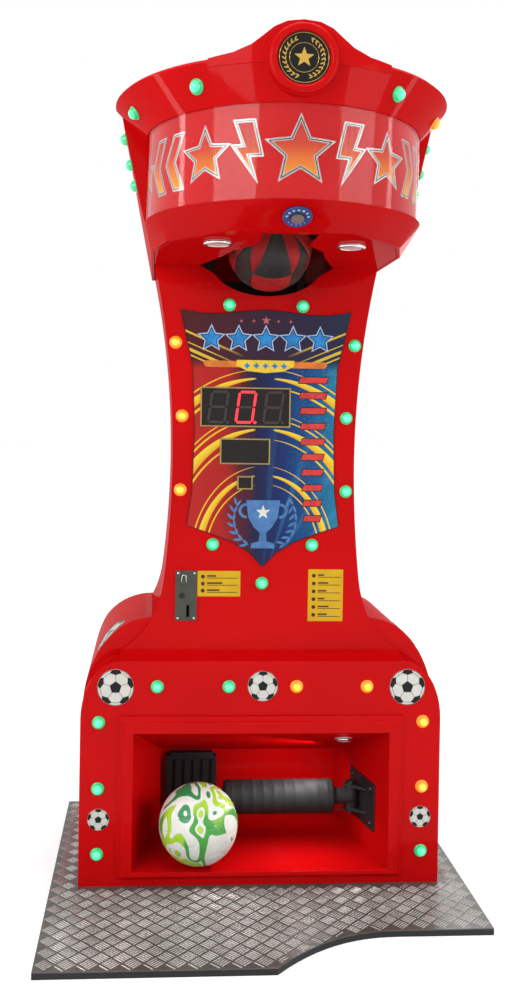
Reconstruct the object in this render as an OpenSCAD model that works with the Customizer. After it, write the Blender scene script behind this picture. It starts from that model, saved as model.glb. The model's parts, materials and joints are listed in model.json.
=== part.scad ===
// Boxing and kicking arcade machine, millimetres.
// The origin is on the floor, under the centre of the whole machine. +X is the player's right, +Y points
// from the player into the machine. Distances into the machine are taken from the front of the base.

/* [Platform] */
// Width of the platform
platform_w = 1150; // [1080:5:1300]
// Thickness of the platform board
board_t = 15; // [12:1:24]
// Thickness of the tread plate on the board
tread_t = 3; // [2:0.5:5]
// Reach of the platform in front of the base, left side
reach_left = 414; // [380:2:520]
// Reach of the platform in front of the base, right side
reach_right = 254; // [200:2:300]
// Width of the curved step between the two reaches
step_w = 330; // [250:10:400]

/* [Base] */
// Width of the base
base_w = 1000; // [920:5:1060]
// Depth of the base
base_depth = 600; // [500:5:700]
// Height of the front edge of the base
base_front_z = 637; // [600:1:660]
// Width of the rounded upper corner of the base
corner_w = 104; // [60:2:140]
// Height of the rounded upper corner of the base
corner_h = 160; // [100:5:200]
// Height where the hips of the base start to round
hip_z = 480; // [430:5:520]
// Height of the hips beside the column
hip_top_z = 742; // [715:1:770]
// Wall of the glass-fibre mouldings
shell_t = 8; // [5:0.5:12]

/* [Kick recess] */
// Half width of the recess mouth
recess_half = 354; // [330:2:375]
// Height of the recess floor
recess_floor_z = 60; // [50:1:75]
// Height of the top of the recess mouth
recess_top_z = 440; // [420:2:460]
// Depth of the recess
recess_depth = 380; // [360:2:378]
// How far each side wall leans in at the back
recess_splay = 85; // [60:1:95]
// Height of the back wall of the recess
recess_back_h = 205; // [190:1:220]
// Wall of the recess liner
liner_t = 6; // [4:0.5:8]
// Width of the raised frame round the mouth, at the sides
frame_side = 40; // [25:1:50]
// Width of the raised frame above the mouth
frame_top = 47; // [25:1:60]
// Width of the raised frame below the mouth
frame_bottom = 19; // [10:1:26]
// Thickness of the raised frame
frame_t = 14; // [8:1:20]

/* [Column] */
// Depth of the column
column_depth = 360; // [330:5:420]
// Distance of the column's front behind the base front
column_set = 70; // [60:1:90]
// Half width of the column's waist
waist_half = 258; // [250:1:280]
// Height of the waist
waist_z = 1190; // [1120:5:1240]
// Side curve radius above the waist
upper_r = 2600; // [2300:50:3500]
// Side curve radius below the waist
lower_r = 3000; // [2600:50:4000]
// Height where the foot flare starts
flare_z = 845; // [800:5:870]
// Width that the foot flare adds
flare_w = 125; // [90:1:140]
// Height of the lower edge of the column front
column_foot_z = 652; // [645:1:680]

/* [Head] */
// Height of the underside of the head
head_z = 1735; // [1700:1:1760]
// Height of the sloping lip under the marquee
lip_h = 55; // [45:1:70]
// Height of the lit marquee
marquee_h = 210; // [170:2:240]
// Height of the crest above the marquee
crest_h = 100; // [90:2:130]
// Reach of the head in front of the base
head_reach = 590; // [570:2:610]
// Outer radius of the marquee
marquee_r = 338; // [334:1:344]
// Outer radius of the crest at its top
crest_r = 420; // [412:1:430]
// Distance of the marquee's ends behind the front of the crest
cheek_back = 440; // [430:1:455]
// Half width of the lip's front facet
lip_front_half = 148; // [120:1:160]
// Half width of the lip at its side corner
lip_side_half = 287; // [275:1:295]
// Thickness of the clear marquee panel
marquee_t = 4; // [3:0.5:6]
// Radius of the boss that carries the badge
boss_r = 83; // [78:1:92]
// Radius of the badge
badge_r = 57; // [50:1:60]
// Radius of the half-round ring round the badge
ring_r = 10; // [7:0.5:11]

/* [Punch] */
// Distance of the punch shaft in front of the base
punch_y = 290; // [280:1:300]
// Height of the punch shaft
punch_z = 1900; // [1890:1:1910]
// Diameter of the punch shaft
shaft_d = 20; // [16:1:25]
// Radial running clearance of a shaft in its bearing
run_gap = 0.05; // [0.02:0.01:0.09]
// Angle of the stowed arm from straight down
stow_angle = 67; // [66:1:74]
// Reach from the shaft to the end of the bag
bag_reach = 430; // [405:1:436]
// Diameter of the bag
bag_d = 235; // [200:1:240]
// Length of the bag
bag_len = 262; // [240:1:268]
// Width of the arm slot in the underside of the head
slot_w = 130; // [122:1:140]

/* [Kick] */
// Ball radius
ball_r = 110; // [100:1:112]
// Ball centre to the left of the middle
ball_x = 171; // [150:1:180]
// Ball centre behind the base front
ball_y = 30; // [10:1:40]
// Height of the ball centre
ball_z = 176; // [174:1:190]
// Distance of the kick pivot from the side wall of the recess
pivot_gap = 31; // [28:1:36]
// Pivot and arm behind the base front
kick_y = 171; // [168:1:176]
// Height of the arm
kick_z = 196; // [190:1:202]
// Diameter of the kick arm tube
arm_d = 48; // [40:1:50]
// Outer diameter of the ribbed sleeve
sleeve_d = 104; // [90:1:108]
// Number of ribs on the sleeve
sleeve_ribs = 10; // [6:1:14]
// Diameter of the kick pivot pin
pin_d = 16; // [12:1:20]
// Thickness of the rubber buffer
buffer_t = 35; // [30:1:38]

/* [Lamps] */
// Radius of a lamp dome
lamp_r = 15; // [12:0.5:17]
// Radius of a lamp stem
stem_r = 10; // [8:0.5:11]

/* [Hidden] */
$fn = 48;

fit = 0.3;
front_y = (head_reach + ring_r - base_depth) / 2;
floor_z = board_t + tread_t;
column_back = column_set + column_depth;
marquee_z = head_z + lip_h;
crest_z = marquee_z + marquee_h;
crest_top_z = crest_z + crest_h;
boss_z = crest_top_z - 11;
hip_neck = column_half(hip_top_z);
kick_x = recess_wall_x(kick_y) - pivot_gap;
column_top_half = column_half(head_z);
cheek_bottom = column_top_half + 10;
cheek_y = head_reach - cheek_back;
crest_centre_y = crest_r - head_reach;
crest_low_r = marquee_r + 2;
marquee_set = 19;
marquee_centre_y = marquee_r + marquee_set - head_reach;
marquee_end_x = sqrt(pow(marquee_r, 2) - pow(marquee_centre_y + cheek_y, 2));
lip_front_y = head_reach - 110;
lip_side_y = head_reach - 290;
lip_run = marquee_r + 4 - marquee_centre_y - lip_front_y;

// Half widths of the head's side at its bends, from the marquee's foot to the top
wing_front_x = [338.5, 355.5, 399, 406.5, 396];
wing_back_x = [330, 338, 352, 358, 336];
wing_bend_z = [marquee_z, marquee_z + 70, crest_z + 54];

// Right half of an ellipse arc, as points
function arc_points(cx, cz, rx, rz, from, to, steps) =
    [for (i = [0:steps]) let (a = from + (to - from) * i / steps) [cx + rx * cos(a), cz + rz * sin(a)]];

// A right half outline, closed with its mirror image
function both_halves(half) = concat(half, [for (i = [len(half) - 1:-1:0]) [-half[i][0], half[i][1]]]);

// Half width of the column at height z
function column_half(z) = waist_half
    + pow(z - waist_z, 2) / (2 * (z > waist_z ? upper_r : lower_r))
    + (z < flare_z ? flare_w * (1 - sqrt(1 - pow((flare_z - z) / (flare_z - column_foot_z + 7), 2))) : 0);

// Outline of the head's side at its front and at its back edge, from the underside to the top
function wing_outline(half_widths, edge_drop, inset) = concat(
    [[cheek_bottom - inset, head_z - (inset > 0 ? 1 : 0)]],
    [for (i = [0:2]) [half_widths[i] - inset, wing_bend_z[i]]],
    [[half_widths[3] - inset, crest_top_z - edge_drop - inset], [half_widths[4] - inset, crest_top_z - inset]]);
function wing_front(inset) = wing_outline(wing_front_x, 12, inset);
function wing_back(inset) = wing_outline(wing_back_x, 30, inset);

// Place of a wing lamp: share of the way up the long sloping face, and of the way back along it
function wing_up(z) = (z - wing_bend_z[1]) / (wing_bend_z[2] - wing_bend_z[1]);
wing_lean = atan((wing_front_x[2] - wing_front_x[1]) / (wing_bend_z[2] - wing_bend_z[1]));
wing_turn = atan((wing_front_x[1] - (wing_bend_z[1] - head_z) * tan(wing_lean) - cheek_bottom)
    / (cheek_y + column_back));

// Half width of the recess at depth y
function recess_wall_x(y) = recess_half - recess_splay * y / recess_depth;
// Height of the recess ceiling at depth y
function recess_ceiling_z(y) =
    recess_top_z - (recess_top_z - recess_floor_z - recess_back_h) * y / recess_depth;

// Moves a piece from the base front to the common origin
module placed() translate([0, front_y, 0]) children();

// A flat outline in X and Z, from depth y to y + t
module front_plate(y, t) translate([0, y + t, 0]) rotate([90, 0, 0]) linear_extrude(t) children();

// A flat outline in X and Y, from height z to z + t
module plan_plate(z, t) translate([0, 0, z]) linear_extrude(t) children();

// A flat outline in Y and Z, from x to x + t
module side_plate(x, t) translate([x, 0, 0]) rotate([90, 0, 90]) linear_extrude(t) children();

// A block between two corners
module block(a, b) translate(a) cube(b - a);

// A cylinder along X, centred on x
module cross_rod(x, y, z, r, len) translate([x - len / 2, y, z]) rotate([0, 90, 0]) cylinder(r = r, h = len);

module platform_outline() {
    polygon(concat(
        [[-platform_w / 2, base_depth], [-platform_w / 2, -reach_left], [0, -reach_left]],
        [for (i = [1:12]) let (u = i / 12)
            [step_w * u, -reach_left + (reach_left - reach_right) * (1 - pow(1 - u, 2.2))]],
        [[platform_w / 2, -reach_right], [platform_w / 2, base_depth]]));
}

module platform_board() color("dimgray") placed() plan_plate(0, board_t) platform_outline();

module tread_plate() color("silver") placed() plan_plate(board_t, tread_t) platform_outline();

// Lamp places on the base front: x, z, colour
edge_lamp_x = base_w / 2 - 50;
row_lamp_z = base_front_z - 70;
base_lamp_list = [[-base_w * 0.291, row_lamp_z, "green"], [-base_w * 0.094, row_lamp_z, "green"],
    [base_w * 0.094, row_lamp_z, "amber"], [base_w * 0.291, row_lamp_z, "amber"],
    [-edge_lamp_x, 469, "green"], [-edge_lamp_x, 287, "green"], [-edge_lamp_x, 107, "green"],
    [edge_lamp_x, 469, "amber"], [edge_lamp_x, 287, "amber"], [edge_lamp_x, 107, "green"]];
// Football emblems on the base front: x, z, radius
small_emblem_x = (recess_half + frame_side + base_w / 2) / 2;
emblem_list = [[-base_w / 2 + 95, row_lamp_z - 2, 50], [0, row_lamp_z + 1, 42],
    [base_w / 2 - 95, row_lamp_z - 2, 50], [-small_emblem_x, 202, 30], [small_emblem_x, 202, 30]];
// Lamp places on the column front
column_lamp_list = [[-104, 1625, "green"], [104, 1625, "green"], [-254, 1517, "amber"],
    [254, 1517, "green"], [-233, 1311, "amber"], [233, 1311, "green"], [-235, 1103, "amber"],
    [235, 1103, "green"], [-141, 950, "green"], [141, 950, "green"], [0, 841, "green"]];
// Lamp places on the crest front: x and colour
crest_lamp_list = [[-227, "green"], [227, "green"], [-368, "green"], [368, "amber"]];
// Lamp heights on the side of the head
wing_lamp_heights = [marquee_z + 120, marquee_z + 174, crest_z + 30];
wing_lamp_y = cheek_y - 38;

// One lamp on its seat, seen along +Z: domed lens, flange and stem
module lamp() {
    intersection() {
        translate([0, 0, 2]) sphere(r = lamp_r);
        cylinder(r = lamp_r + 1, h = lamp_r + 4);
    }
    cylinder(r = lamp_r + 3, h = 3);
    translate([0, 0, -shell_t - 14]) cylinder(r = stem_r, h = shell_t + 15);
}

// Clearance hole for a lamp stem
module lamp_hole() translate([0, 0, -shell_t - 30]) cylinder(r = stem_r + 0.2, h = shell_t + 40);

// Nut and lamp holder on the stem, behind the wall
module lamp_nut() translate([0, 0, -shell_t - 13]) difference() {
    cylinder(r = lamp_r + 1, h = 12.4);
    translate([0, 0, -1]) cylinder(r = stem_r + run_gap, h = 15);
}

module face_seats(list, y, colour) {
    for (p = list) if (colour == "any" || p[2] == colour)
        translate([p[0], y, p[1]]) rotate([90, 0, 0]) children();
}

// Seats on the crest: the wall is part of a cone between two arcs, so each seat turns and tilts with it
module crest_seats(colour) {
    share = 0.5;
    seat_r = crest_low_r + (crest_r - crest_low_r) * share;
    seat_centre = marquee_centre_y * (1 - share) + crest_centre_y * share;
    for (p = crest_lamp_list) if (colour == "any" || p[1] == colour) {
        turn = asin(p[0] / seat_r);
        lean = atan(((crest_r - crest_low_r) - (crest_centre_y - marquee_centre_y) * cos(turn)) / crest_cone_h);
        translate([p[0], -seat_r * cos(turn) + seat_centre - fit, crest_z + crest_cone_h * share])
            rotate([0, 0, turn]) rotate([90 + lean, 0, 0]) children();
    }
    if (colour != "amber") for (side = [-1, 1], z = wing_lamp_heights) {
        x = wing_front_x[1] + (wing_front_x[2] - wing_front_x[1]) * wing_up(z) - (cheek_y - wing_lamp_y)
            * tan(wing_turn) + fit;
        translate([side * x, -wing_lamp_y, z])
            rotate([0, 0, side * (90 + wing_turn)]) rotate([90 + wing_lean, 0, 0]) children();
    }
}

module base_outline(inset = 0) {
    polygon(both_halves(concat([[base_w / 2 - inset, inset > 0 ? 0 : floor_z]],
        arc_points(base_w / 2 - corner_w, base_front_z - corner_h, corner_w - inset,
            corner_h - inset, 0, 90, 12))));
}

module hip_outline(inset = 0) {
    polygon(both_halves(concat([[base_w / 2 - inset, inset > 0 ? 0 : floor_z]],
        arc_points(hip_neck, hip_z, base_w / 2 - hip_neck - inset, hip_top_z - hip_z - inset, 0, 90, 16))));
}

// Side view of the rear part of the base: its deck slopes down behind the column
module deck_profile(inset = 0) {
    polygon([[column_set + shell_t + inset, 0], [base_depth + (inset > 0 ? 1 : 0), 0],
        [base_depth + (inset > 0 ? 1 : 0), 640 - inset], [column_back + 30, hip_top_z - inset],
        [column_set + shell_t + inset, hip_top_z - inset]]);
}

module base_shell() color("firebrick") placed() difference() {
    union() {
        front_plate(0, column_set + shell_t) base_outline();
        intersection() {
            front_plate(column_set + shell_t, base_depth - column_set - shell_t) hip_outline();
            side_plate(-base_w / 2, base_w) deck_profile();
        }
        side_plate(-base_w / 2 + corner_w, base_w - 2 * corner_w)
            polygon([[1, base_front_z - 9], [1, base_front_z], [column_set, column_foot_z],
                [column_set, base_front_z - 9]]);
    }
    front_plate(shell_t, column_set + shell_t) base_outline(shell_t);
    intersection() {
        front_plate(column_set + 2 * shell_t, base_depth) hip_outline(shell_t);
        side_plate(-base_w / 2, base_w) deck_profile(shell_t);
    }
    plan_plate(hip_top_z - 3 * shell_t, 5 * shell_t)
        translate([-hip_neck + shell_t, column_set + shell_t - 1])
            square([2 * (hip_neck - shell_t), column_depth - shell_t + 1]);
    block([-recess_half - liner_t, -1, recess_floor_z - liner_t],
        [recess_half + liner_t, shell_t + 1, recess_top_z + liner_t]);
    face_seats(base_lamp_list, 0, "any") lamp_hole();
}

module recess_block(grow, from, depth) hull() {
    block([-recess_half - grow, from, recess_floor_z - grow],
        [recess_half + grow, from + 0.5, recess_top_z + grow]);
    block([-recess_wall_x(recess_depth) - grow, depth - 0.5, recess_floor_z - grow],
        [recess_wall_x(recess_depth) + grow, depth, recess_floor_z + recess_back_h + grow]);
}

module recess_liner() color("firebrick") placed() difference() {
    recess_block(liner_t, 0, recess_depth + liner_t);
    recess_block(0, -0.5, recess_depth);
}

module mouth_outline(grow) {
    share = grow / frame_side;
    translate([-recess_half - grow, recess_floor_z - frame_bottom * share])
        square([2 * (recess_half + grow),
            recess_top_z - recess_floor_z + (frame_bottom + frame_top) * share]);
}

module recess_frame() color("firebrick") placed() {
    front_plate(-frame_t * 0.55, frame_t * 0.55) difference() {
        mouth_outline(frame_side);
        mouth_outline(0);
    }
    front_plate(-frame_t, frame_t * 0.45) difference() {
        mouth_outline(frame_side * 0.7);
        mouth_outline(0);
    }
}

module column_outline(low, inset = 0) {
    steps = 30;
    polygon(both_halves([for (i = [0:steps])
        let (z = low + (head_z - low) * pow(i / steps, 1.4)) [column_half(z) - inset, z]]));
}

// Mouth in the column front, below the head, through which the bag swings
module bag_mouth() {
    intersection() {
        translate([0, head_z]) scale([1.84, 1]) circle(r = bag_mouth_dip, $fn = 64);
        translate([-bag_mouth_half, head_z - bag_mouth_dip - 1])
            square([2 * bag_mouth_half, bag_mouth_dip + 20]);
    }
    polygon([[-bag_mouth_half, head_z + 1], [bag_mouth_half, head_z + 1], [120, head_z - 42],
        [-120, head_z - 42]]);
}
bag_mouth_dip = 83;
bag_mouth_half = 190;

module shield_outline(grow = 0) {
    half = [[0, 888 - grow], [38, 928 - grow], [92, 960 - grow], [160, 985 - grow],
        [215 + grow, 1003 - grow], [202 + grow, 1100], [197 + grow, 1270], [205 + grow, 1450],
        [242 + grow, 1611 + grow], [180, 1600 + grow], [127, 1600 + grow], [60, 1608 + grow],
        [0, 1613 + grow]];
    polygon(concat(half, [for (i = [len(half) - 2:-1:1]) [-half[i][0], half[i][1]]]));
}

// Display windows: left, bottom, width, height
score_window = [-178, 1286, 247, 104];
counter_window = [-121, 1181, 134, 65];
credit_window = [-71, 1110, 36, 30];

module window(w, grow = 0) translate([w[0] - grow, w[1] - grow]) square([w[2] + 2 * grow, w[3] + 2 * grow]);

// Coin plate: left, bottom, width, height
coin_rect = [-244, 735, 60, 141];
coin_slot_x = coin_rect[0] + 33;
coin_slot_z = coin_rect[1] + 11;
coin_slot_h = 32;
coin_slot_w = 5;
coin_button_x = coin_rect[0] + 18;
coin_button_z = coin_rect[1] + 70;
coin_button_r = 7;

module column_shell() color("firebrick") placed() difference() {
    union() {
        front_plate(column_set, shell_t) column_outline(column_foot_z);
        front_plate(column_set + shell_t, column_depth - shell_t) difference() {
            column_outline(hip_top_z);
            column_outline(hip_top_z - 1, shell_t);
        }
    }
    front_plate(column_set - 1, shell_t + 2) {
        bag_mouth();
        window(score_window, -2);
        window(counter_window, -2);
        window(credit_window, -2);
        translate([coin_rect[0] + 8, coin_rect[1] + 8]) square([coin_rect[2] - 16, coin_rect[3] - 16]);
    }
    face_seats(column_lamp_list, column_set, "any") lamp_hole();
}

module wing_slab(points, y) front_plate(y, 0.5) polygon(both_halves(points));

module head_shell() color("firebrick") placed() difference() {
    union() {
        difference() {
            hull() {
                wing_slab(wing_front(0), -cheek_y);
                wing_slab(wing_back(0), column_back - 0.5);
            }
            hull() {
                wing_slab(wing_front(shell_t), -cheek_y - 1);
                wing_slab(wing_back(shell_t), column_back - shell_t - 0.5);
            }
        }
        front_plate(-cheek_y, shell_t) difference() {
            polygon(both_halves(wing_front(shell_t / 2)));
            translate([-marquee_end_x + 3, head_z - 5])
                square([2 * marquee_end_x - 6, crest_top_z - head_z - shell_t]);
        }
    }
    crest_seats("any") lamp_hole();
}

// Front part of a disc, cut off at the cheeks
module front_segment(r, centre_y, grow = 0) intersection() {
    translate([0, centre_y]) circle(r = r, $fn = 96);
    translate([-r, -cheek_y - 2 * r + grow]) square([2 * r, 2 * r]);
}

// Hump in the middle of the crest, blending into its shoulders
module crest_hump() {
    rise = boss_z + boss_r - crest_top_z;
    polygon(both_halves([[205, crest_top_z - 20], [205, crest_top_z - 1], [152, crest_top_z + rise * 0.08],
        [113, crest_top_z + rise * 0.28], [88, crest_top_z + rise * 0.53], [64, crest_top_z + rise * 0.79],
        [36, crest_top_z + rise * 0.95], [0, crest_top_z + rise]]));
}

module head_crest() color("firebrick") placed() {
    difference() {
        union() {
            hull() {
                plan_plate(crest_z, 0.5) front_segment(crest_low_r, marquee_centre_y);
                plan_plate(crest_top_z - crest_edge, 0.5) front_segment(crest_r, crest_centre_y);
                plan_plate(crest_top_z - 0.5, 0.5) front_segment(crest_r - crest_edge, crest_centre_y);
            }
            intersection() {
                front_plate(-head_reach, boss_depth + 20) crest_hump();
                plan_plate(crest_z + 20, 2 * crest_h) front_segment(crest_r, crest_centre_y);
            }
            translate([0, -head_reach + boss_depth, boss_z]) rotate([90, 0, 0])
                cylinder(r = badge_r + 2 * ring_r + 3, h = boss_depth, $fn = 72);
        }
        hull() {
            plan_plate(crest_z - 0.5, 0.5) front_segment(crest_low_r - shell_t, marquee_centre_y, 1);
            plan_plate(crest_top_z - shell_t, 0.5) front_segment(crest_r - shell_t, crest_centre_y, 1);
        }
        crest_seats("any") lamp_hole();
    }
}
boss_depth = 40;
crest_edge = 9;
crest_cone_h = crest_h - crest_edge;

module crest_ring() color("firebrick") placed() translate([0, -head_reach, boss_z]) rotate([90, 0, 0])
    rotate_extrude($fn = 72) translate([badge_r + ring_r, 0]) intersection() {
        circle(r = ring_r, $fn = 24);
        translate([-ring_r, 0]) square([2 * ring_r, ring_r]);
    }

module crest_badge() color("black") placed() translate([0, -head_reach, boss_z]) rotate([90, 0, 0])
    cylinder(r = badge_r - fit, h = 3, $fn = 72);

// Plan of the lip's lower edge, cut off at depth y
module lip_outline(inset = 0, y = -cheek_y) {
    polygon(both_halves([[cheek_bottom - inset, y + (inset > 0 ? 1 : 0)], [cheek_bottom - inset, -cheek_y],
        [lip_side_half - inset, -lip_side_y + inset * 0.8],
        [lip_front_half - inset * 0.4, -lip_front_y + inset]]));
}

module lip_button_seat() translate([0, -lip_front_y - lip_run / 2, head_z + lip_h / 2])
    rotate([180 - atan2(lip_h, lip_run), 0, 0]) children();

button_bore_r = 24;

module head_lip() color("firebrick") placed() difference() {
    hull() {
        plan_plate(marquee_z - 0.5, 0.5) front_segment(marquee_r + 4, marquee_centre_y);
        plan_plate(head_z, 0.5) lip_outline();
    }
    hull() {
        plan_plate(marquee_z, 0.5) front_segment(marquee_r - 4, marquee_centre_y, 1);
        plan_plate(head_z - 0.5, 0.5) lip_outline(shell_t);
    }
    lip_button_seat() translate([0, 0, -40]) cylinder(r = button_bore_r + fit, h = 80);
}

// Slot for the arm, widening into the mouth for the bag
module soffit_opening() polygon(both_halves([[slot_w / 2, 30 - lip_front_y], [slot_w / 2, -punch_y],
    [bag_d / 2 - 4, -200], [bag_d / 2 + 16, -105], [bag_mouth_half, column_set + shell_t + 1]]));

soffit_t = 6;
soffit_light_x = 164;
soffit_light_y = lip_front_y - 162;

module head_soffit() color("firebrick") placed() plan_plate(head_z, soffit_t) difference() {
    lip_outline(shell_t + fit, column_set + shell_t - 1);
    soffit_opening();
}

// A wall that follows the marquee's arc
module marquee_wall(outer, t, z, h) {
    end = cheek_y + marquee_centre_y + fit / 3;
    turn = 2 * acos(end / (end > 0 ? outer - t : outer));
    translate([0, marquee_centre_y, z]) rotate([0, 0, 270 - turn / 2])
        rotate_extrude(angle = turn, $fn = 144) translate([outer - t, 0]) square([t, h]);
}

module marquee_panel() color("lightcyan", 0.4) placed() marquee_wall(marquee_r, marquee_t, marquee_z, marquee_h);

module marquee_backing() color("crimson") placed()
    marquee_wall(marquee_r - marquee_t - fit, 3, marquee_z, marquee_h);

module marquee_light() color("white") placed()
    marquee_wall(marquee_r - marquee_t - 2 * fit - 3, 3, marquee_z + 60, marquee_h - 120);

module shield_panel() color("navy") placed() front_plate(column_set - 3, 3) difference() {
    shield_outline();
    window(score_window);
    window(counter_window);
    window(credit_window);
}

module display_frames() color("goldenrod") placed() front_plate(column_set - 6, 3)
    for (w = [score_window, counter_window, credit_window]) difference() {
        window(w, 4);
        window(w);
    }

// Seven segments of one digit, on a width of one and a height of about two
module digit_bars(w) {
    thick = w * 0.16;
    gap = w * 0.02;
    for (z = [0, w * 0.9, w * 1.8]) translate([thick + gap, z]) square([w - 2 * thick - 2 * gap, thick]);
    for (x = [0, w - thick], z = [thick + gap, w * 0.9 + thick + gap])
        translate([x, z]) square([thick, w * 0.9 - thick - 2 * gap]);
}

module score_display() color("black") placed() {
    w = score_window;
    front_plate(column_set - 2, 2) window(w, -fit);
    front_plate(column_set, shell_t + 24) window(w, -2 - fit);
    front_plate(column_set - 2.8, 0.8) for (i = [0:2])
        translate([w[0] + 20 + i * (w[2] - 24) / 3, w[1] + 12]) digit_bars(41);
}

module small_displays() color("black") placed() for (w = [counter_window, credit_window]) {
    front_plate(column_set - 2, 2) window(w, -fit);
    front_plate(column_set, shell_t + 12) window(w, -2 - fit);
}

coin_plate_t = 4;

module coin_plate() color("dimgray") placed() {
    difference() {
        front_plate(column_set - coin_plate_t, coin_plate_t) window(coin_rect);
        front_plate(column_set - coin_plate_t - 1, coin_plate_t + 2) {
            translate([coin_slot_x, coin_slot_z]) square([coin_slot_w, coin_slot_h]);
            translate([coin_button_x, coin_button_z]) circle(r = coin_button_r + fit);
        }
    }
    front_plate(column_set - coin_plate_t - 1.5, 1.5) difference() {
        translate([coin_rect[0] + 16, coin_rect[1] + 98]) square([15, 34]);
        translate([coin_rect[0] + 19, coin_rect[1] + 97]) square([9, 31]);
    }
    for (x = [7, coin_rect[2] - 7], z = [7, coin_rect[3] - 7])
        translate([coin_rect[0] + x, column_set - coin_plate_t, coin_rect[1] + z]) rotate([90, 0, 0])
            cylinder(r = 3, h = 1.5);
}

button_travel = 3;

module coin_reject_button() color("black") placed()
    translate([coin_button_x, column_set + button_travel, coin_button_z]) rotate([90, 0, 0]) {
        cylinder(r = coin_button_r, h = button_travel + coin_plate_t + 4);
        cylinder(r = coin_button_r + 1.5, h = button_travel - fit);
    }

module coin_mech() color("gray") placed() difference() {
    block([coin_rect[0] + 8 + fit, column_set, coin_rect[1] + 8 + fit],
        [coin_rect[0] + coin_rect[2] - 8 - fit, column_set + 120, coin_rect[1] + coin_rect[3] - 8 - fit]);
    block([coin_slot_x - 0.5, column_set - 1, coin_slot_z - 0.5],
        [coin_slot_x + coin_slot_w + 0.5, column_set + 90, coin_slot_z + coin_slot_h + 48]);
    translate([coin_button_x, column_set + 16, coin_button_z]) rotate([90, 0, 0])
        cylinder(r = coin_button_r + 2, h = 20);
}

shelf_z = 472;
shelf_t = 4;

// Coin box on the shelf under the coin mechanism: left, front, width, depth, height
box_rect = [coin_rect[0] - 56, column_set + 35, 150, 195, 146];
box_t = 4;

module coin_box() color("darkgray") placed() translate([box_rect[0], box_rect[1], shelf_z + shelf_t])
    difference() {
        cube([box_rect[2], box_rect[3], box_rect[4]]);
        translate([box_t, box_t, box_t])
            cube([box_rect[2] - 2 * box_t, box_rect[3] - 2 * box_t, box_rect[4]]);
    }

module label_plates() color("gold") placed() front_plate(column_set - 1, 1) {
    translate([coin_rect[0] + coin_rect[2] + 1, 803]) square([122, 72]);
    translate([132, 734]) square([100, 147]);
}

module base_lamps_green() color("lime") placed() face_seats(base_lamp_list, 0, "green") lamp();
module base_lamps_amber() color("orange") placed() face_seats(base_lamp_list, 0, "amber") lamp();
module column_lamps_green() color("lime") placed() face_seats(column_lamp_list, column_set, "green") lamp();
module column_lamps_amber() color("orange") placed() face_seats(column_lamp_list, column_set, "amber") lamp();
module crest_lamps_green() color("lime") placed() crest_seats("green") lamp();
module crest_lamps_amber() color("orange") placed() crest_seats("amber") lamp();

module lamp_sockets() color("black") placed() {
    face_seats(base_lamp_list, 0, "any") lamp_nut();
    face_seats(column_lamp_list, column_set, "any") lamp_nut();
    crest_seats("any") lamp_nut();
}

module ball_emblems() color("white") placed() {
    for (p = emblem_list)
        translate([p[0], 0, p[1]]) rotate([90, 0, 0]) cylinder(r = p[2], h = 1, $fn = 64);
}

// Service door in the back of the column: width, height, lower edge
door_w = 300;
door_h = 600;
door_z = 900;
door_gap = 2;
hinge_r = 7;
hinge_heights = [door_z + 90, door_z + door_h - 90];
hinge_x = -door_w / 2 - door_gap;
hinge_y = column_back + hinge_r;
lock_x = door_w / 2 - 40;
lock_z = door_z + door_h / 2;
lock_r = 9.5;

module rear_panels() color("black") placed() {
    front_plate(column_back - shell_t, shell_t) difference() {
        column_outline(hip_top_z + fit, shell_t + fit);
        translate([-door_w / 2 - door_gap, door_z - door_gap])
            square([door_w + 2 * door_gap, door_h + 2 * door_gap]);
        for (i = [0:7], side = [-1, 1]) translate([side * 70 - 45, 1580 + i * 14]) square([90, 6]);
    }
    difference() {
        intersection() {
            front_plate(base_depth - shell_t, shell_t) hip_outline(shell_t + fit);
            block([-base_w / 2, 0, floor_z], [base_w / 2, base_depth + 1, 640 - shell_t - fit]);
        }
        front_plate(base_depth - shell_t - 1, shell_t + 2) {
            for (i = [0:9], side = [-1, 1]) translate([side * 200 - 60, 420 + i * 14]) square([120, 6]);
            translate([inlet_x - 14, inlet_z - 10]) square([28, 20]);
        }
    }
}
inlet_x = 330;
inlet_z = 130;

module rear_door() color("black") placed() {
    difference() {
        front_plate(column_back - shell_t, shell_t) translate([-door_w / 2, door_z]) square([door_w, door_h]);
        front_plate(column_back - shell_t - 1, shell_t + 2)
            translate([lock_x, lock_z]) circle(r = lock_r + 0.1);
        for (z = hinge_heights) translate([hinge_x, hinge_y, z - 35]) cylinder(r = hinge_r + 1, h = 70);
    }
    for (z = hinge_heights) translate([0, 0, z]) difference() {
        union() {
            translate([hinge_x, hinge_y, 0.3]) cylinder(r = hinge_r - 1, h = 30);
            block([hinge_x + 3, column_back + fit / 3, 0.3], [hinge_x + 40, column_back + 3, 30.3]);
            block([hinge_x + 12, column_back - 0.1, 0.3], [hinge_x + 40, column_back + 1, 30.3]);
        }
        translate([hinge_x, hinge_y, -1]) cylinder(r = 3 + run_gap, h = 40);
    }
}

module door_hinges() color("silver") placed() for (z = hinge_heights) translate([0, 0, z]) {
    difference() {
        union() {
            translate([hinge_x, hinge_y, -30]) cylinder(r = hinge_r - 1, h = 30);
            block([hinge_x - 40, column_back, -30], [hinge_x - 3, column_back + 3, 0]);
        }
        translate([hinge_x, hinge_y, -40]) cylinder(r = 3, h = 50);
    }
    translate([hinge_x, hinge_y, -31]) cylinder(r = 3, h = 62);
}

module door_lock() color("silver") placed() translate([lock_x, column_back, lock_z]) rotate([90, 0, 0]) {
    translate([0, 0, -3]) cylinder(r = lock_r, h = shell_t + 11);
    translate([0, 0, -3]) cylinder(r = lock_r + 2, h = 3 - fit / 3);
    translate([-8, -8, shell_t + 1.5]) cube([16, 40, 3]);
}

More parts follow.
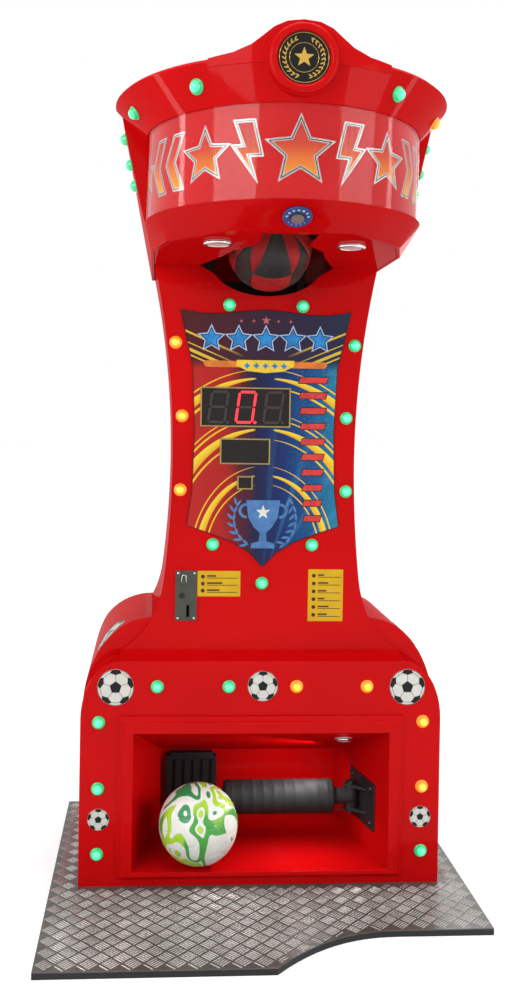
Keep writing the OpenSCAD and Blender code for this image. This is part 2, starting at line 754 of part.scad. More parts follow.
module mains_inlet() color("black") placed() difference() {
    union() {
        block([inlet_x - 14 + fit, base_depth - 40, inlet_z - 10 + fit],
            [inlet_x + 14 - fit, base_depth - 0.5, inlet_z + 10 - fit]);
        block([inlet_x - 20, base_depth - shell_t - 3, inlet_z - 15],
            [inlet_x + 20, base_depth - shell_t, inlet_z + 15]);
    }
    block([inlet_x - 11, base_depth - 22, inlet_z - 7], [inlet_x + 11, base_depth, inlet_z + 7]);
}

bar = 26;
bar_x = 130;
upright_y = column_back - shell_t - bar - 8;
beam_z = punch_z + 45;
beam_front = punch_y + 140;

module steel_frame() color("slategray") placed() {
    for (side = [-1, 1]) {
        x = side > 0 ? bar_x : -bar_x - bar;
        difference() {
            union() {
                block([x, upright_y, floor_z], [x + bar, upright_y + bar, beam_z + bar]);
                block([x, -beam_front, beam_z], [x + bar, upright_y, beam_z + bar]);
                block([x, 100, shelf_z - 16], [x + bar, upright_y, shelf_z]);
            }
            block([x + 3, upright_y + 3, floor_z - 1], [x + bar - 3, upright_y + bar - 3, beam_z - 3]);
        }
    }
    for (z = [floor_z, beam_z])
        block([-bar_x, upright_y, z], [bar_x, upright_y + bar, z + bar]);
    block([-bar_x, -beam_front, beam_z], [bar_x, -beam_front + bar, beam_z + bar]);
    block([-320, 100, shelf_z], [bar_x + bar, upright_y, shelf_z + shelf_t]);
}

module control_board() color("green") placed() {
    block([-bar_x - bar, upright_y - 4, 1000], [bar_x + bar, upright_y, 1250]);
    block([-120, upright_y - 50, 1020], [-20, upright_y - 4, 1120]);
    block([10, upright_y - 24, 1030], [110, upright_y - 4, 1200]);
}

recess_light_x = 254;
recess_light_y = 130;
ceiling_angle = atan((recess_top_z - recess_floor_z - recess_back_h) / recess_depth);

module recess_downlight() color("white") placed()
    translate([recess_light_x, recess_light_y, recess_ceiling_z(recess_light_y)])
        rotate([-ceiling_angle, 0, 0]) translate([0, 0, -7]) {
            cylinder(r = 26, h = 6.8);
            translate([0, 0, -2]) cylinder(r = 20, h = 3);
        }

module soffit_downlights() color("white") placed() for (side = [-1, 1])
    translate([side * soffit_light_x, -soffit_light_y, head_z - 5]) {
        cylinder(r = 34, h = 5);
        translate([0, 0, -2]) cylinder(r = 26, h = 3);
    }

bearing_w = 34;
bearing_x = bar_x + bar / 2;

module punch_shaft() color("silver") placed()
    cross_rod(0, -punch_y, punch_z, shaft_d / 2, 2 * bearing_x + bearing_w + 4);

module punch_bearings() color("darkslategray") placed() for (side = [-1, 1]) {
    x = side * bearing_x;
    difference() {
        union() {
            cross_rod(x, -punch_y, punch_z, 30, bearing_w);
            block([x - bearing_w / 2, -punch_y - 30, punch_z], [x + bearing_w / 2, -punch_y + 30, beam_z]);
        }
        cross_rod(x, -punch_y, punch_z, shaft_d / 2 + run_gap, bearing_w + 2);
    }
}

hub_r = 22;
hub_w = 80;
punch_tube_r = 15;
catch_r = 55;
catch_x = 44;
catch_t = 8;
collar_at = 140;

// Turns a piece that hangs straight down from the punch shaft into its stowed place
module stowed() translate([0, -punch_y, punch_z]) rotate([stow_angle, 0, 0]) children();

module punch_arm() color("darkslategray") placed() stowed() difference() {
    union() {
        rotate([0, 90, 0]) translate([0, 0, -hub_w / 2]) cylinder(r = hub_r, h = hub_w + 4);
        translate([0, 0, -collar_at]) cylinder(r = punch_tube_r, h = collar_at);
        difference() {
            translate([catch_x, 0, 0]) rotate([0, 90, 0]) cylinder(r = catch_r, h = catch_t);
            rotate([-stow_angle, 0, 0]) block([catch_x - 1, -6, catch_r - 7],
                [catch_x + catch_t + 1, 6, catch_r + 5]);
        }
    }
    translate([-hub_w, 0, 0]) rotate([0, 90, 0]) cylinder(r = shaft_d / 2 + run_gap, h = 3 * hub_w);
}

bag_top = bag_reach - bag_len;
bag_r = bag_d / 2;

// Half outline of the bag along its own axis: short neck, round shoulder, full middle and domed end
module bag_profile() polygon(concat([[0, -bag_top], [34, -bag_top]],
    [for (a = [75:-15:0]) [34 + (bag_r - 34) * cos(a), -bag_top - 80 + 76 * sin(a)]],
    [for (a = [0:10:90]) [bag_r * cos(a), -bag_reach + 95 - 95 * sin(a)]]));

module punch_bag() color("black") placed() stowed() rotate_extrude($fn = 72) bag_profile();

module bag_collar() color("silver") placed() stowed() {
    translate([0, 0, -bag_top]) cylinder(r = 38, h = 5);
    translate([0, 0, -bag_top + 5]) difference() {
        cylinder(r = 24, h = bag_top - 5 - collar_at + 12);
        translate([0, 0, bag_top - 5 - collar_at]) cylinder(r = punch_tube_r + run_gap, h = 30);
    }
}

// Latch: a hook on its own cross pin, drawn up here; it drops hook_lift degrees into the catch disc
hook_y = punch_y + catch_r;
hook_z = punch_z + catch_r + 5;
hook_pin_r = 4;
hook_lift = 12;
hook_t = 6;
cheek_t = 3;

module latch_hook() color("silver") placed() translate([catch_x + (catch_t - hook_t) / 2, -hook_y, hook_z])
    rotate([hook_lift, 0, 0]) difference() {
        union() {
            side_plate(0, hook_t) circle(r = 9);
            side_plate(0, hook_t) polygon([[-28, -4], [-28, 4], [0, 8], [52, 5], [hook_y - punch_y + 4, 2],
                [hook_y - punch_y + 3, -11], [hook_y - punch_y - 3, -11], [hook_y - punch_y - 4, -4],
                [0, -8]]);
        }
        translate([-1, 0, 0]) rotate([0, 90, 0]) cylinder(r = hook_pin_r + run_gap, h = hook_t + 2);
    }

module latch_solenoid() color("dimgray") placed() {
    x = catch_x + catch_t / 2;
    gap = hook_t / 2 + 0.5;
    for (side = [-1, 1]) block([x + side * (gap + cheek_t / 2) - cheek_t / 2, -beam_front + bar, hook_z - 8],
        [x + side * (gap + cheek_t / 2) + cheek_t / 2, -hook_y + 12, hook_z + 11]);
    block([x - 18, -beam_front + bar, hook_z + 11], [x + 18, -hook_y - 22, hook_z + 34]);
    cross_rod(x, -hook_y, hook_z, hook_pin_r, 2 * gap + 2 * cheek_t);
}

module speed_sensor() color("black") placed() difference() {
    union() {
        block([catch_x - 12, -punch_y - catch_r - 22, punch_z - 14],
            [bearing_x - bearing_w / 2 + 10, -punch_y - catch_r - 4, punch_z + 2]);
        block([bearing_x - bearing_w / 2 + fit, -punch_y - catch_r - 22, punch_z - 14],
            [bearing_x + 10, -punch_y - 30, punch_z + 2]);
        block([catch_x - 12, -punch_y - catch_r - 5, punch_z - 14],
            [catch_x + catch_t + 12, -punch_y - catch_r + 8, punch_z + 2]);
    }
    block([catch_x - 2, -punch_y - catch_r - 8, punch_z - 20],
        [catch_x + catch_t + 2, -punch_y, punch_z + 20]);
}

start_travel = 4;

module start_button_ring() color("royalblue") placed() lip_button_seat() difference() {
    union() {
        translate([0, 0, 1.5]) cylinder(r = 33, h = 5);
        translate([0, 0, -24]) cylinder(r = button_bore_r, h = 26);
    }
    translate([0, 0, -30]) cylinder(r = 15.3, h = 50);
}

module start_button() color("silver") placed() lip_button_seat() {
    translate([0, 0, -28]) cylinder(r = 15, h = 40);
    translate([0, 0, -28]) cylinder(r = 18, h = 4 - fit);
}

bracket_bottom = 126;
bracket_top = 262;
hub_h = 60;
ear_t = 8;
kick_hub_r = 21;
bracket_t = 6;

module kick_bracket() color("black") placed() difference() {
    union() {
        plan_plate(bracket_bottom, bracket_top - bracket_bottom) polygon([
            [recess_wall_x(75) - fit / 3, 75], [recess_wall_x(235) - fit / 3, 235],
            [recess_wall_x(235) - bracket_t, 235], [recess_wall_x(75) - bracket_t, 75]]);
        for (z = [kick_z - hub_h / 2 - ear_t - fit, kick_z + hub_h / 2 + fit]) plan_plate(z, ear_t) {
            translate([kick_x, kick_y]) circle(r = kick_hub_r);
            polygon([[kick_x, kick_y - kick_hub_r], [recess_wall_x(120) - 4, 120],
                [recess_wall_x(215) - 4, 215], [kick_x, kick_y + kick_hub_r]]);
        }
    }
    translate([kick_x, kick_y, 0]) cylinder(r = pin_d / 2, h = 500);
}

module kick_pin() color("silver") placed() translate([kick_x, kick_y, kick_z - hub_h / 2 - ear_t - 6]) {
    cylinder(r = pin_d / 2, h = hub_h + 2 * ear_t + 12);
    translate([0, 0, hub_h + 2 * ear_t + 7]) cylinder(r = pin_d / 2 + 5, h = 6);
}

stub_dir = [0, ball_y - kick_y, ball_z - kick_z];
stub_len = norm(stub_dir) - ball_r;

module to_ball() translate([-ball_x, kick_y, kick_z])
    rotate([90 + atan2(kick_z - ball_z, kick_y - ball_y), 0, 0]) children();

module kick_arm() color("black") placed() difference() {
    union() {
        translate([kick_x, kick_y, kick_z - hub_h / 2]) cylinder(r = kick_hub_r, h = hub_h);
        translate([-ball_x - 26, kick_y, kick_z]) rotate([0, 90, 0])
            cylinder(r = arm_d / 2, h = kick_x + ball_x + 26);
        to_ball() cylinder(r = 15, h = stub_len + 4);
        to_ball() translate([0, 0, stub_len - 6]) cylinder(r = 45, h = 16);
    }
    translate([kick_x, kick_y, 0]) cylinder(r = pin_d / 2 + run_gap, h = 500);
    translate([-ball_x, ball_y, ball_z]) sphere(r = ball_r + fit / 3, $fn = 96);
    translate([kick_x - kick_hub_r - arm_d, kick_y, kick_z]) rotate([0, -90, 0])
        cylinder(r = arm_d / 2 - 4, h = kick_x + ball_x);
}

sleeve_from = 79 - ball_x;
sleeve_to = kick_x - 53;

module kick_sleeve() color("black") placed() {
    pitch = (sleeve_to - sleeve_from) / sleeve_ribs;
    r = sleeve_d / 2;
    translate([sleeve_from, kick_y, kick_z]) rotate([0, 90, 0]) rotate_extrude($fn = 64)
        polygon(concat([[arm_d / 2 + fit / 3, 0]],
            [for (i = [0:sleeve_ribs - 1], p = [[r - 7, 0], [r - 2, 0.12], [r, 0.25], [r, 0.62],
                [r - 2, 0.75], [r - 7, 0.86]]) [p[0], (i + p[1]) * pitch]],
            [[r - 7, sleeve_ribs * pitch], [arm_d / 2 + fit / 3, sleeve_ribs * pitch]]));
}

module kick_ball() color("white") placed() translate([-ball_x, ball_y, ball_z]) sphere(r = ball_r, $fn = 96);

module kick_buffer() color("black") placed() {
    block([-258, recess_depth - buffer_t + 7, 96], [-102, recess_depth, recess_floor_z + recess_back_h - 12]);
    for (i = [0:5]) block([-258 + i * 28, recess_depth - buffer_t, 96],
        [-242 + i * 28, recess_depth - buffer_t + 7, recess_floor_z + recess_back_h - 22]);
    block([-246, recess_depth - 26, recess_floor_z + recess_back_h - 12],
        [-114, recess_depth, recess_floor_z + recess_back_h - 2]);
}

// Close-wound return spring round the lower end of the pivot pin, with its leg along the arm
module kick_spring() color("gray") placed() {
    wire = 2.5;
    ring = pin_d / 2 + wire + 0.2;
    translate([kick_x, kick_y, kick_z - hub_h / 2 - ear_t - fit - wire - 0.1]) {
        rotate_extrude($fn = 40) for (i = [0:1]) translate([ring, -i * 1.8 * wire])
            circle(r = wire, $fn = 16);
        translate([-ring - 30, 0, 0]) rotate([0, 90, 0]) cylinder(r = wire * 0.8, h = 30, $fn = 16);
    }
}

platform_board();
tread_plate();
base_shell();
recess_liner();
recess_frame();
column_shell();
head_shell();
head_crest();
head_lip();
head_soffit();
marquee_panel();
marquee_backing();
marquee_light();
crest_ring();
crest_badge();
shield_panel();
display_frames();
score_display();
small_displays();
coin_plate();
coin_reject_button();
coin_mech();
coin_box();
label_plates();
base_lamps_green();
base_lamps_amber();
column_lamps_green();
column_lamps_amber();
crest_lamps_green();
crest_lamps_amber();
lamp_sockets();
ball_emblems();
rear_panels();
rear_door();
door_hinges();
door_lock();
mains_inlet();
steel_frame();
control_board();
recess_downlight();
soffit_downlights();
punch_shaft();
punch_bearings();
punch_arm();
punch_bag();
bag_collar();
latch_hook();
latch_solenoid();
speed_sensor();
start_button_ring();
start_button();
kick_bracket();
kick_pin();
kick_arm();
kick_sleeve();
kick_ball();
kick_buffer();
kick_spring();
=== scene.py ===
"""Boxing and kicking arcade machine: finishes, fine pieces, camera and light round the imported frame."""
import json
import math
from itertools import product

import bmesh
import bpy
import numpy as np
from mathutils import Matrix, Vector
from mathutils.bvhtree import BVHTree


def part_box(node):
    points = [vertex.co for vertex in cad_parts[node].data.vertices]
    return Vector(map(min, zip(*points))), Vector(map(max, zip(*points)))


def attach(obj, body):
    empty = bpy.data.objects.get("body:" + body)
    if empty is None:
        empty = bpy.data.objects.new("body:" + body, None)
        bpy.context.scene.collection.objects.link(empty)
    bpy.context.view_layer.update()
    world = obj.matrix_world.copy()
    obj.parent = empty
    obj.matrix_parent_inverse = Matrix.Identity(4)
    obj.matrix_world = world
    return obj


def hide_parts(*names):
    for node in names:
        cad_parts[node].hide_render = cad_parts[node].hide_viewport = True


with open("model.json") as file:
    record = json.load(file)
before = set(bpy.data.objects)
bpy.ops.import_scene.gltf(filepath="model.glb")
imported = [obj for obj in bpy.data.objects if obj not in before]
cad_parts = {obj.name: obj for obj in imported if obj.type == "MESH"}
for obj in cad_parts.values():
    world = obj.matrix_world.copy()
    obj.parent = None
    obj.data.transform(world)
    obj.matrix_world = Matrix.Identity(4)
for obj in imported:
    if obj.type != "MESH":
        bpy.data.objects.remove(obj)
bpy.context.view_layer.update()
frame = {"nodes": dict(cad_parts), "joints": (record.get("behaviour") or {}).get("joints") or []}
nodes = frame["nodes"]
joints = {j["name"]: j for j in frame["joints"]}
scene = bpy.context.scene
paints = {}  # each finish by its name
MM = 0.001
FOOT = -0.0002  # how deep a raised mark reaches into what carries it
FRONT, BACK = Vector((0, -1, 0)), Vector((0, 1, 0))  # towards the player, and away
RIGHT, UP = Vector((1, 0, 0)), Vector((0, 0, 1))


# ---------------------------------------------------------------- finishes

def feed(tree, socket, item):
    """Gives an input a constant, or a link from a Value or from another node's socket."""
    if isinstance(item, Value):
        item = item.socket
    if isinstance(item, bpy.types.NodeSocket):
        tree.links.new(item, socket)
    else:
        socket.default_value = (*item, 1.0) if socket.type == "RGBA" else item


def graft(tree, kind, inputs, **settings):
    """A new node with its settings and inputs."""
    made = tree.nodes.new(kind)
    for key, item in settings.items():
        setattr(made, key, item)
    for key, item in inputs.items():
        feed(tree, made.inputs[key], item)
    return made


class Value:
    """A number inside a material's node tree, so that masks are written as plain arithmetic."""

    def __init__(self, tree, socket):
        self.tree, self.socket = tree, socket

    def op(self, kind, *others):
        node = graft(self.tree, "ShaderNodeMath", dict(enumerate((self, *others))), operation=kind)
        return Value(self.tree, node.outputs[0])

    def __add__(self, o): return self.op("ADD", o)
    def __sub__(self, o): return self.op("SUBTRACT", o)
    def __mul__(self, o): return self.op("MULTIPLY", o)
    def __truediv__(self, o): return self.op("DIVIDE", o)
    def __neg__(self): return self * -1
    def abs(self): return self.op("ABSOLUTE")
    def sin(self): return self.op("SINE")
    def root(self): return self.op("SQRT")
    def wrap(self, reach): return self.op("WRAP", reach, -reach)
    def under(self, o): return self.op("LESS_THAN", o)
    def lower(self, o): return self.op("MINIMUM", o)
    def higher(self, o): return self.op("MAXIMUM", o)
    def angle(self, o): return self.op("ARCTAN2", o)

    def span(self, low, high, to_low=0.0, to_high=1.0):
        """Linear from low..high to to_low..to_high, clamped at both ends."""
        keys = ("Value", "From Min", "From Max", "To Min", "To Max")
        inputs = dict(zip(keys, (self, low, high, to_low, to_high)))
        return Value(self.tree, graft(self.tree, "ShaderNodeMapRange", inputs).outputs[0])

    def above(self, edge, soft=0.0006):
        """1 where the value is over edge, 0 under it, with a soft step."""
        return (self - edge).span(-soft, soft)

    def within(self, low, high, soft=0.0006):
        return self.above(low, soft) * (-self).above(-high, soft)


class Finish:
    """One material, with short calls for the nodes that this scene uses. Lengths are in metres."""

    def __init__(self, name, **principled):
        paint = paints[name] = bpy.data.materials.new(name)
        paint.use_nodes = True
        self.tree = paint.node_tree
        self.shader = self.tree.nodes["Principled BSDF"]
        self.where = self.node("ShaderNodeTexCoord").outputs["Object"]
        self.set(**principled)

    def node(self, kind, inputs=(), **settings):
        return graft(self.tree, kind, dict(inputs), **settings)

    def set(self, **principled):
        """Constants, or values and colours from nodes, on the shader's own sockets."""
        for key, item in principled.items():
            feed(self.tree, self.shader.inputs[key.replace("_", " ")], item)

    def xyz(self, origin=(0, 0, 0)):
        split = self.node("ShaderNodeSeparateXYZ", {0: self.where})
        return [Value(self.tree, s) - o for s, o in zip(split.outputs, origin)]

    def noise(self, size, detail=2.0, stretch=(1, 1, 1), distortion=0.0):
        """Noise from about 0 to 1 whose lumps are about size across, longer where stretch is small."""
        place = self.node("ShaderNodeMapping", {"Vector": self.where, "Scale": stretch})
        made = self.node("ShaderNodeTexNoise", {"Vector": place.outputs[0], "Scale": 1 / size,
                                                "Detail": detail, "Distortion": distortion})
        return Value(self.tree, made.outputs[0])

    def vary(self, size, low, high, detail=2.0, stretch=(1, 1, 1)):
        """A number that drifts between low and high."""
        return self.noise(size, detail, stretch).span(0.3, 0.7, low, high)

    def mottle(self, size, a, b, detail=3.0, low=0.35, high=0.7, stretch=(1, 1, 1)):
        """Colour a with soft patches of colour b."""
        return self.mix(self.noise(size, detail, stretch).span(low, high), a, b)

    def cells(self, size, feature="F1"):
        inputs = {"Vector": self.where, "Scale": 1 / size}
        made = self.node("ShaderNodeTexVoronoi", inputs, feature=feature)
        return Value(self.tree, made.outputs["Distance"])

    def mix(self, share, a, b):
        """Colour b over colour a by share."""
        made = self.node("ShaderNodeMix", data_type="RGBA")
        for index, item in ((0, share), (6, a), (7, b)):
            feed(self.tree, made.inputs[index], item)
        return made.outputs[2]

    def ramp(self, value, stops):
        made = self.node("ShaderNodeValToRGB", {0: value})
        elements = made.color_ramp.elements
        while len(elements) < len(stops):
            elements.new(0.5)
        for element, (place, colour) in zip(elements, stops):
            element.position = place
            element.color = (*colour, 1.0)
        return made.outputs[0]

    def bump(self, height, depth, coat=False):
        """height is 0 to 1, depth its size in metres."""
        made = self.node("ShaderNodeBump", {"Strength": 1.0, "Distance": depth, "Height": height})
        self.set(Normal=made.outputs[0])
        if coat:
            self.set(Coat_Normal=made.outputs[0])


def plain(name, colour, rough, metal=0.0, coat=0.0, patch=0.12, shade=0.8, grain=0.0006, depth=0.00002,
          stretch=(1, 1, 1), spread=0.08, shine=0.25):
    """A finish with soft patches of shade, uneven gloss and a fine grain."""
    f = Finish(name, Metallic=metal, Coat_Weight=coat, Coat_Roughness=0.05,
               Specular_IOR_Level=0.5 if metal else shine)
    f.set(Base_Color=f.mottle(patch, colour, tuple(c * shade for c in colour), stretch=stretch),
          Roughness=f.vary(patch * 0.3, rough - spread, rough + spread, 4.0, stretch))
    f.bump(f.noise(grain, 2.0, stretch), depth)


# Plain finishes: colour, roughness, other settings, the nodes that they cover, and the bevel in millimetres
PLAIN = {
    "black_print": ((0.010, 0.010, 0.011), 0.35, dict(coat=0.1, shine=0.12), "crest_badge", 0.6),
    "zinc_steel": ((0.55, 0.56, 0.58), 0.34, dict(metal=1.0, stretch=(1, 1, 5), grain=0.0012, depth=0.00003),
                   "coin_box punch_arm bag_collar latch_hook door_hinges", 0.8),
    "bright_steel": ((0.72, 0.72, 0.74), 0.14, dict(metal=1.0, spread=0.05), "door_lock punch_shaft", 0.8),
    "frame_paint": ((0.05, 0.055, 0.06), 0.45, dict(grain=0.0012, depth=0.00006),
                    "steel_frame punch_bearings", 1.5),
    "black_rubber": ((0.016, 0.016, 0.017), 0.62, dict(grain=0.0015, depth=0.00012, patch=0.05),
                     "kick_sleeve kick_buffer", 2.0),
    "black_sheet": ((0.02, 0.02, 0.022), 0.5, dict(grain=0.0011, depth=0.00012),
                    "rear_panels rear_door kick_bracket kick_arm", 1.2),
    "black_plastic": ((0.018, 0.018, 0.02), 0.4, dict(grain=0.0009, depth=0.00004),
                      "coin_reject_button coin_mech mains_inlet latch_solenoid speed_sensor lamp_sockets", 0.6),
    "gold_trim": ((0.75, 0.46, 0.09), 0.28, dict(metal=1.0), "", 0),
    "silver_print": ((0.55, 0.54, 0.52), 0.35, dict(metal=0.6), "", 0),
    "dark_window": ((0.010, 0.006, 0.006), 0.15, dict(coat=0.2, shine=0.2, depth=0.00001),
                    "score_display small_displays", 0.3),
    "white_print": ((0.66, 0.66, 0.61), 0.35, dict(coat=0.2, patch=0.03, shade=0.9), "ball_emblems", 0.3),
    "grey_enamel": ((0.062, 0.066, 0.052), 0.34, dict(coat=0.1, grain=0.001, depth=0.00005, patch=0.03),
                    "coin_plate", 0.8),
    "yellow_label": ((0.66, 0.40, 0.012), 0.4, dict(coat=0.1, patch=0.04, shade=0.9, shine=0.15),
                     "label_plates", 0.3),
    "blue_plastic": ((0.02, 0.08, 0.30), 0.25, dict(coat=0.3), "start_button_ring", 1.0),
    "dull_steel": ((0.30, 0.28, 0.26), 0.42, dict(metal=1.0, patch=0.01), "start_button", 1.0),
    "dark_steel": ((0.06, 0.06, 0.062), 0.34, dict(metal=0.8, patch=0.03), "kick_pin kick_spring", 0.6),
    "board_edge": ((0.02, 0.021, 0.022), 0.5, dict(grain=0.002, depth=0.0001), "platform_board", 1),
    "dull_gold": ((0.36, 0.27, 0.09), 0.35, dict(metal=0.6, patch=0.03), "display_frames", 0.4),
    "digit_off": ((0.035, 0.016, 0.016), 0.3, dict(coat=0.6), "", 0),
    "seam_ink": ((0.03, 0.03, 0.03), 0.5, {}, "", 0),
    "label_ink": ((0.05, 0.03, 0.02), 0.6, {}, "", 0),
}


def red_paint():
    """Glossy sparkle paint on a glass-fibre moulding: soft waves, fine flakes and a clear coat."""
    f = Finish("red_paint", Roughness=0.32, Coat_Weight=0.12, Coat_Roughness=0.05, Specular_IOR_Level=0.0)
    tone = f.mottle(0.5, (0.60, 0.003, 0.004), (0.468, 0.00234, 0.00312), 2.0, 0.3, 0.75)
    flakes = f.cells(0.0011).span(0.0, 0.16, 1.0, 0.0)
    f.set(Base_Color=f.mix(flakes * 0.12, tone, (0.90, 0.06, 0.04)))
    f.bump(f.noise(0.16), 0.0006, coat=True)


def tread_metal(name, metal, light, dark, scratch):
    """Rolled steel: streaked gloss, fine scratches and dull patches from shoes."""
    f = Finish(name, Metallic=metal, Specular_IOR_Level=0.15)
    f.set(Base_Color=f.mottle(0.11, light, dark, 4.0), Roughness=f.vary(0.03, 0.21, 0.40, 5.0, (1, 6, 1)))
    f.bump(f.noise(0.0025, 4.0, (1, 9, 1)), scratch)


def clear_plastic():
    """Clear acrylic: see-through, with reflections that grow at a flat angle and a slight wave in them."""
    f = Finish("clear_plastic")
    wave = f.node("ShaderNodeBump", {"Distance": 0.0012, "Height": f.noise(0.12, 2.0, (1, 1, 0.4))})
    see = f.node("ShaderNodeBsdfTransparent", {0: (0.97, 0.98, 0.98)})
    shine = f.node("ShaderNodeBsdfGlossy", {"Color": (0.95, 0.95, 0.95), "Roughness": 0.05,
                                            "Normal": wave.outputs[0]})
    facing = f.node("ShaderNodeLayerWeight", {"Blend": 0.5}).outputs["Facing"]
    share = Value(f.tree, facing).op("POWER", 4.0) * 0.3 + 0.010
    both = f.node("ShaderNodeMixShader", {0: share, 1: see.outputs[0], 2: shine.outputs[0]})
    feed(f.tree, f.tree.nodes["Material Output"].inputs[0], both.outputs[0])
    f.tree.nodes.remove(f.shader)


def lit_lens(name, pale, deep):
    """A lit lens: its vertices hold how near they are to the bulb's axis."""
    bright = 1.35
    f = Finish(name, Roughness=0.22, Coat_Weight=0.6, Coat_Roughness=0.05)
    near = Value(f.tree, f.node("ShaderNodeAttribute", attribute_name="near").outputs["Fac"])
    tone = f.mix(near, deep, pale)
    f.set(Base_Color=tone, Emission_Color=tone, Emission_Strength=near.span(0, 1, bright * 0.45, bright))
    f.bump(f.noise(0.004, 1.0), 0.00005)


def lights_and_lenses():
    """The lit print and light of the marquee, the downlights' lenses, and the lit digits."""
    f = Finish("print_red", Roughness=0.5, Specular_IOR_Level=0.1)
    tone = f.mottle(0.2, (0.60, 0.006, 0.008), (0.50, 0.004, 0.006), 2.0, 0.3)
    f.set(Base_Color=tone, Emission_Color=tone, Emission_Strength=0.1)
    f = Finish("light_strip", Base_Color=(0.9, 0.88, 0.8), Roughness=0.5, Emission_Color=(1, 0.93, 0.8))
    f.set(Emission_Strength=f.vary(0.05, 0.7, 1.0))
    f = Finish("white_lens", Base_Color=(0.85, 0.86, 0.86), Roughness=0.25, Coat_Weight=0.8)
    f.bump(f.cells(0.004), 0.0003)
    f = Finish("digit_on", Base_Color=(0.5, 0.02, 0.02), Roughness=0.3, Emission_Color=(1.0, 0.022, 0.04))
    f.set(Emission_Strength=f.vary(0.004, 1.3, 1.9))


def shield_print():
    """The column's panel: red through navy to sea blue, dark at the top, with gold arcs and fine lines."""
    f = Finish("shield_print", Roughness=0.22, Coat_Weight=0.15, Coat_Roughness=0.06, Specular_IOR_Level=0.14)
    low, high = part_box("shield_panel")
    half = high.x
    x, _, z = f.xyz((0, 0, low.z))
    up, off = z / (high.z - low.z), x.abs()
    art = f.ramp((x / half * 0.5 + 0.5) + (f.noise(0.09, 5.0) - 0.5) * 0.14, (
        (0.05, (0.46, 0.018, 0.014)), (0.27, (0.38, 0.014, 0.012)), (0.36, (0.09, 0.010, 0.02)),
        (0.45, (0.010, 0.012, 0.05)), (0.62, (0.006, 0.024, 0.13)), (0.80, (0.007, 0.085, 0.24)),
        (0.97, (0.020, 0.22, 0.34))))
    # Sparkle on the blue side, and rays of light from the panel's foot
    spark = f.cells(0.0065).span(0.0, 0.22, 1.0, 0.0) * x.span(0.02, half) * up.span(0.15, 0.5)
    art = f.mix(spark * 0.7, art, (0.70, 0.95, 0.98))
    ray = (x.angle(z + 0.05) * 26.0).sin().span(0.55, 1.0) * x.span(-0.02, 0.05) * up.span(0.75, 0.3)
    art = f.mix(ray * 0.16, art, (0.08, 0.36, 0.70))
    # Gold arcs that widen towards the sides: radius and half width
    reach = (x * x * 1.7 + (z - 0.02) * (z - 0.02)).root()
    for radius, width in ((0.213, 0.004), (0.238, 0.016), (0.264, 0.003), (0.340, 0.004), (0.368, 0.018),
                          (0.398, 0.004), (0.412, 0.0025), (0.486, 0.005), (0.512, 0.015), (0.537, 0.003)):
        taper = off.span(0.03, half, 0.15, 1.0) * width
        offset = reach - radius
        gold = f.mix((offset / taper).span(-1.0, 1.0), (0.72, 0.36, 0.015), (0.84, 0.66, 0.05))
        art = f.mix((taper - offset.abs()).above(0.0) * off.above(0.028, 0.004), art, gold)
    # The dark head of the panel, and its slanting lines: level and half width
    dusk = f.mix(x.span(-half, half), (0.055, 0.008, 0.010), (0.012, 0.016, 0.05))
    art = f.mix(up.span(0.765, 0.80) * 0.96, art, dusk)
    fan = z - off * 0.42
    for level, width in ((0.505, 0.0022), (0.520, 0.0045), (0.538, 0.0016), (0.567, 0.003)):
        line = fan.within(level - width, level + width) * up.above(0.785) * off.span(0.06, 0.15)
        art = f.mix(line, art, (0.66, 0.46, 0.05))
    f.set(Base_Color=art)
    f.bump(f.noise(0.0015), 0.00002)


def panel_edges(t, top, belly):
    """Half angles of the bag's inner and outer panel edges at t metres from the pivot."""
    ends = ((0.28, 0.50), (0.785, 0.50))
    if isinstance(t, Value):
        return [t.span(top, belly, *pair) for pair in ends]
    return [float(np.interp(t, (top, belly), pair)) for pair in ends]


def leather(pivot, axis, side, top, belly):
    """Black and red hide in panels: a black trapezium over a red panel in each quarter."""
    f = Finish("bag_hide", Roughness=0.42, Specular_IOR_Level=0.22)
    x, y, z = f.xyz(pivot)

    def along(d):
        return x * d.x + y * d.y + z * d.z
    t, turn = along(axis), along(axis.cross(side)).angle(along(side))
    quarter = turn.wrap(math.pi / 4).abs()
    inner, outer = panel_edges(t, top, belly)
    red_top = (t - belly).under(0.0) * quarter.within(inner, outer, 0.01)
    red_low = (t - belly).above(0.0) * (-quarter).above(-inner, 0.01)
    dark = f.mottle(0.04, (0.018, 0.017, 0.018), (0.035, 0.032, 0.03))
    warm = f.mottle(0.05, (0.42, 0.012, 0.012), (0.30, 0.008, 0.01))
    f.set(Base_Color=f.mix(red_top.higher(red_low), dark, warm), Roughness=f.vary(0.02, 0.34, 0.52, 4.0))
    creases = f.cells(0.0028, "DISTANCE_TO_EDGE").span(0.0, 0.12)
    f.bump(creases * 0.7 + f.noise(0.03) * 0.6, 0.00025)


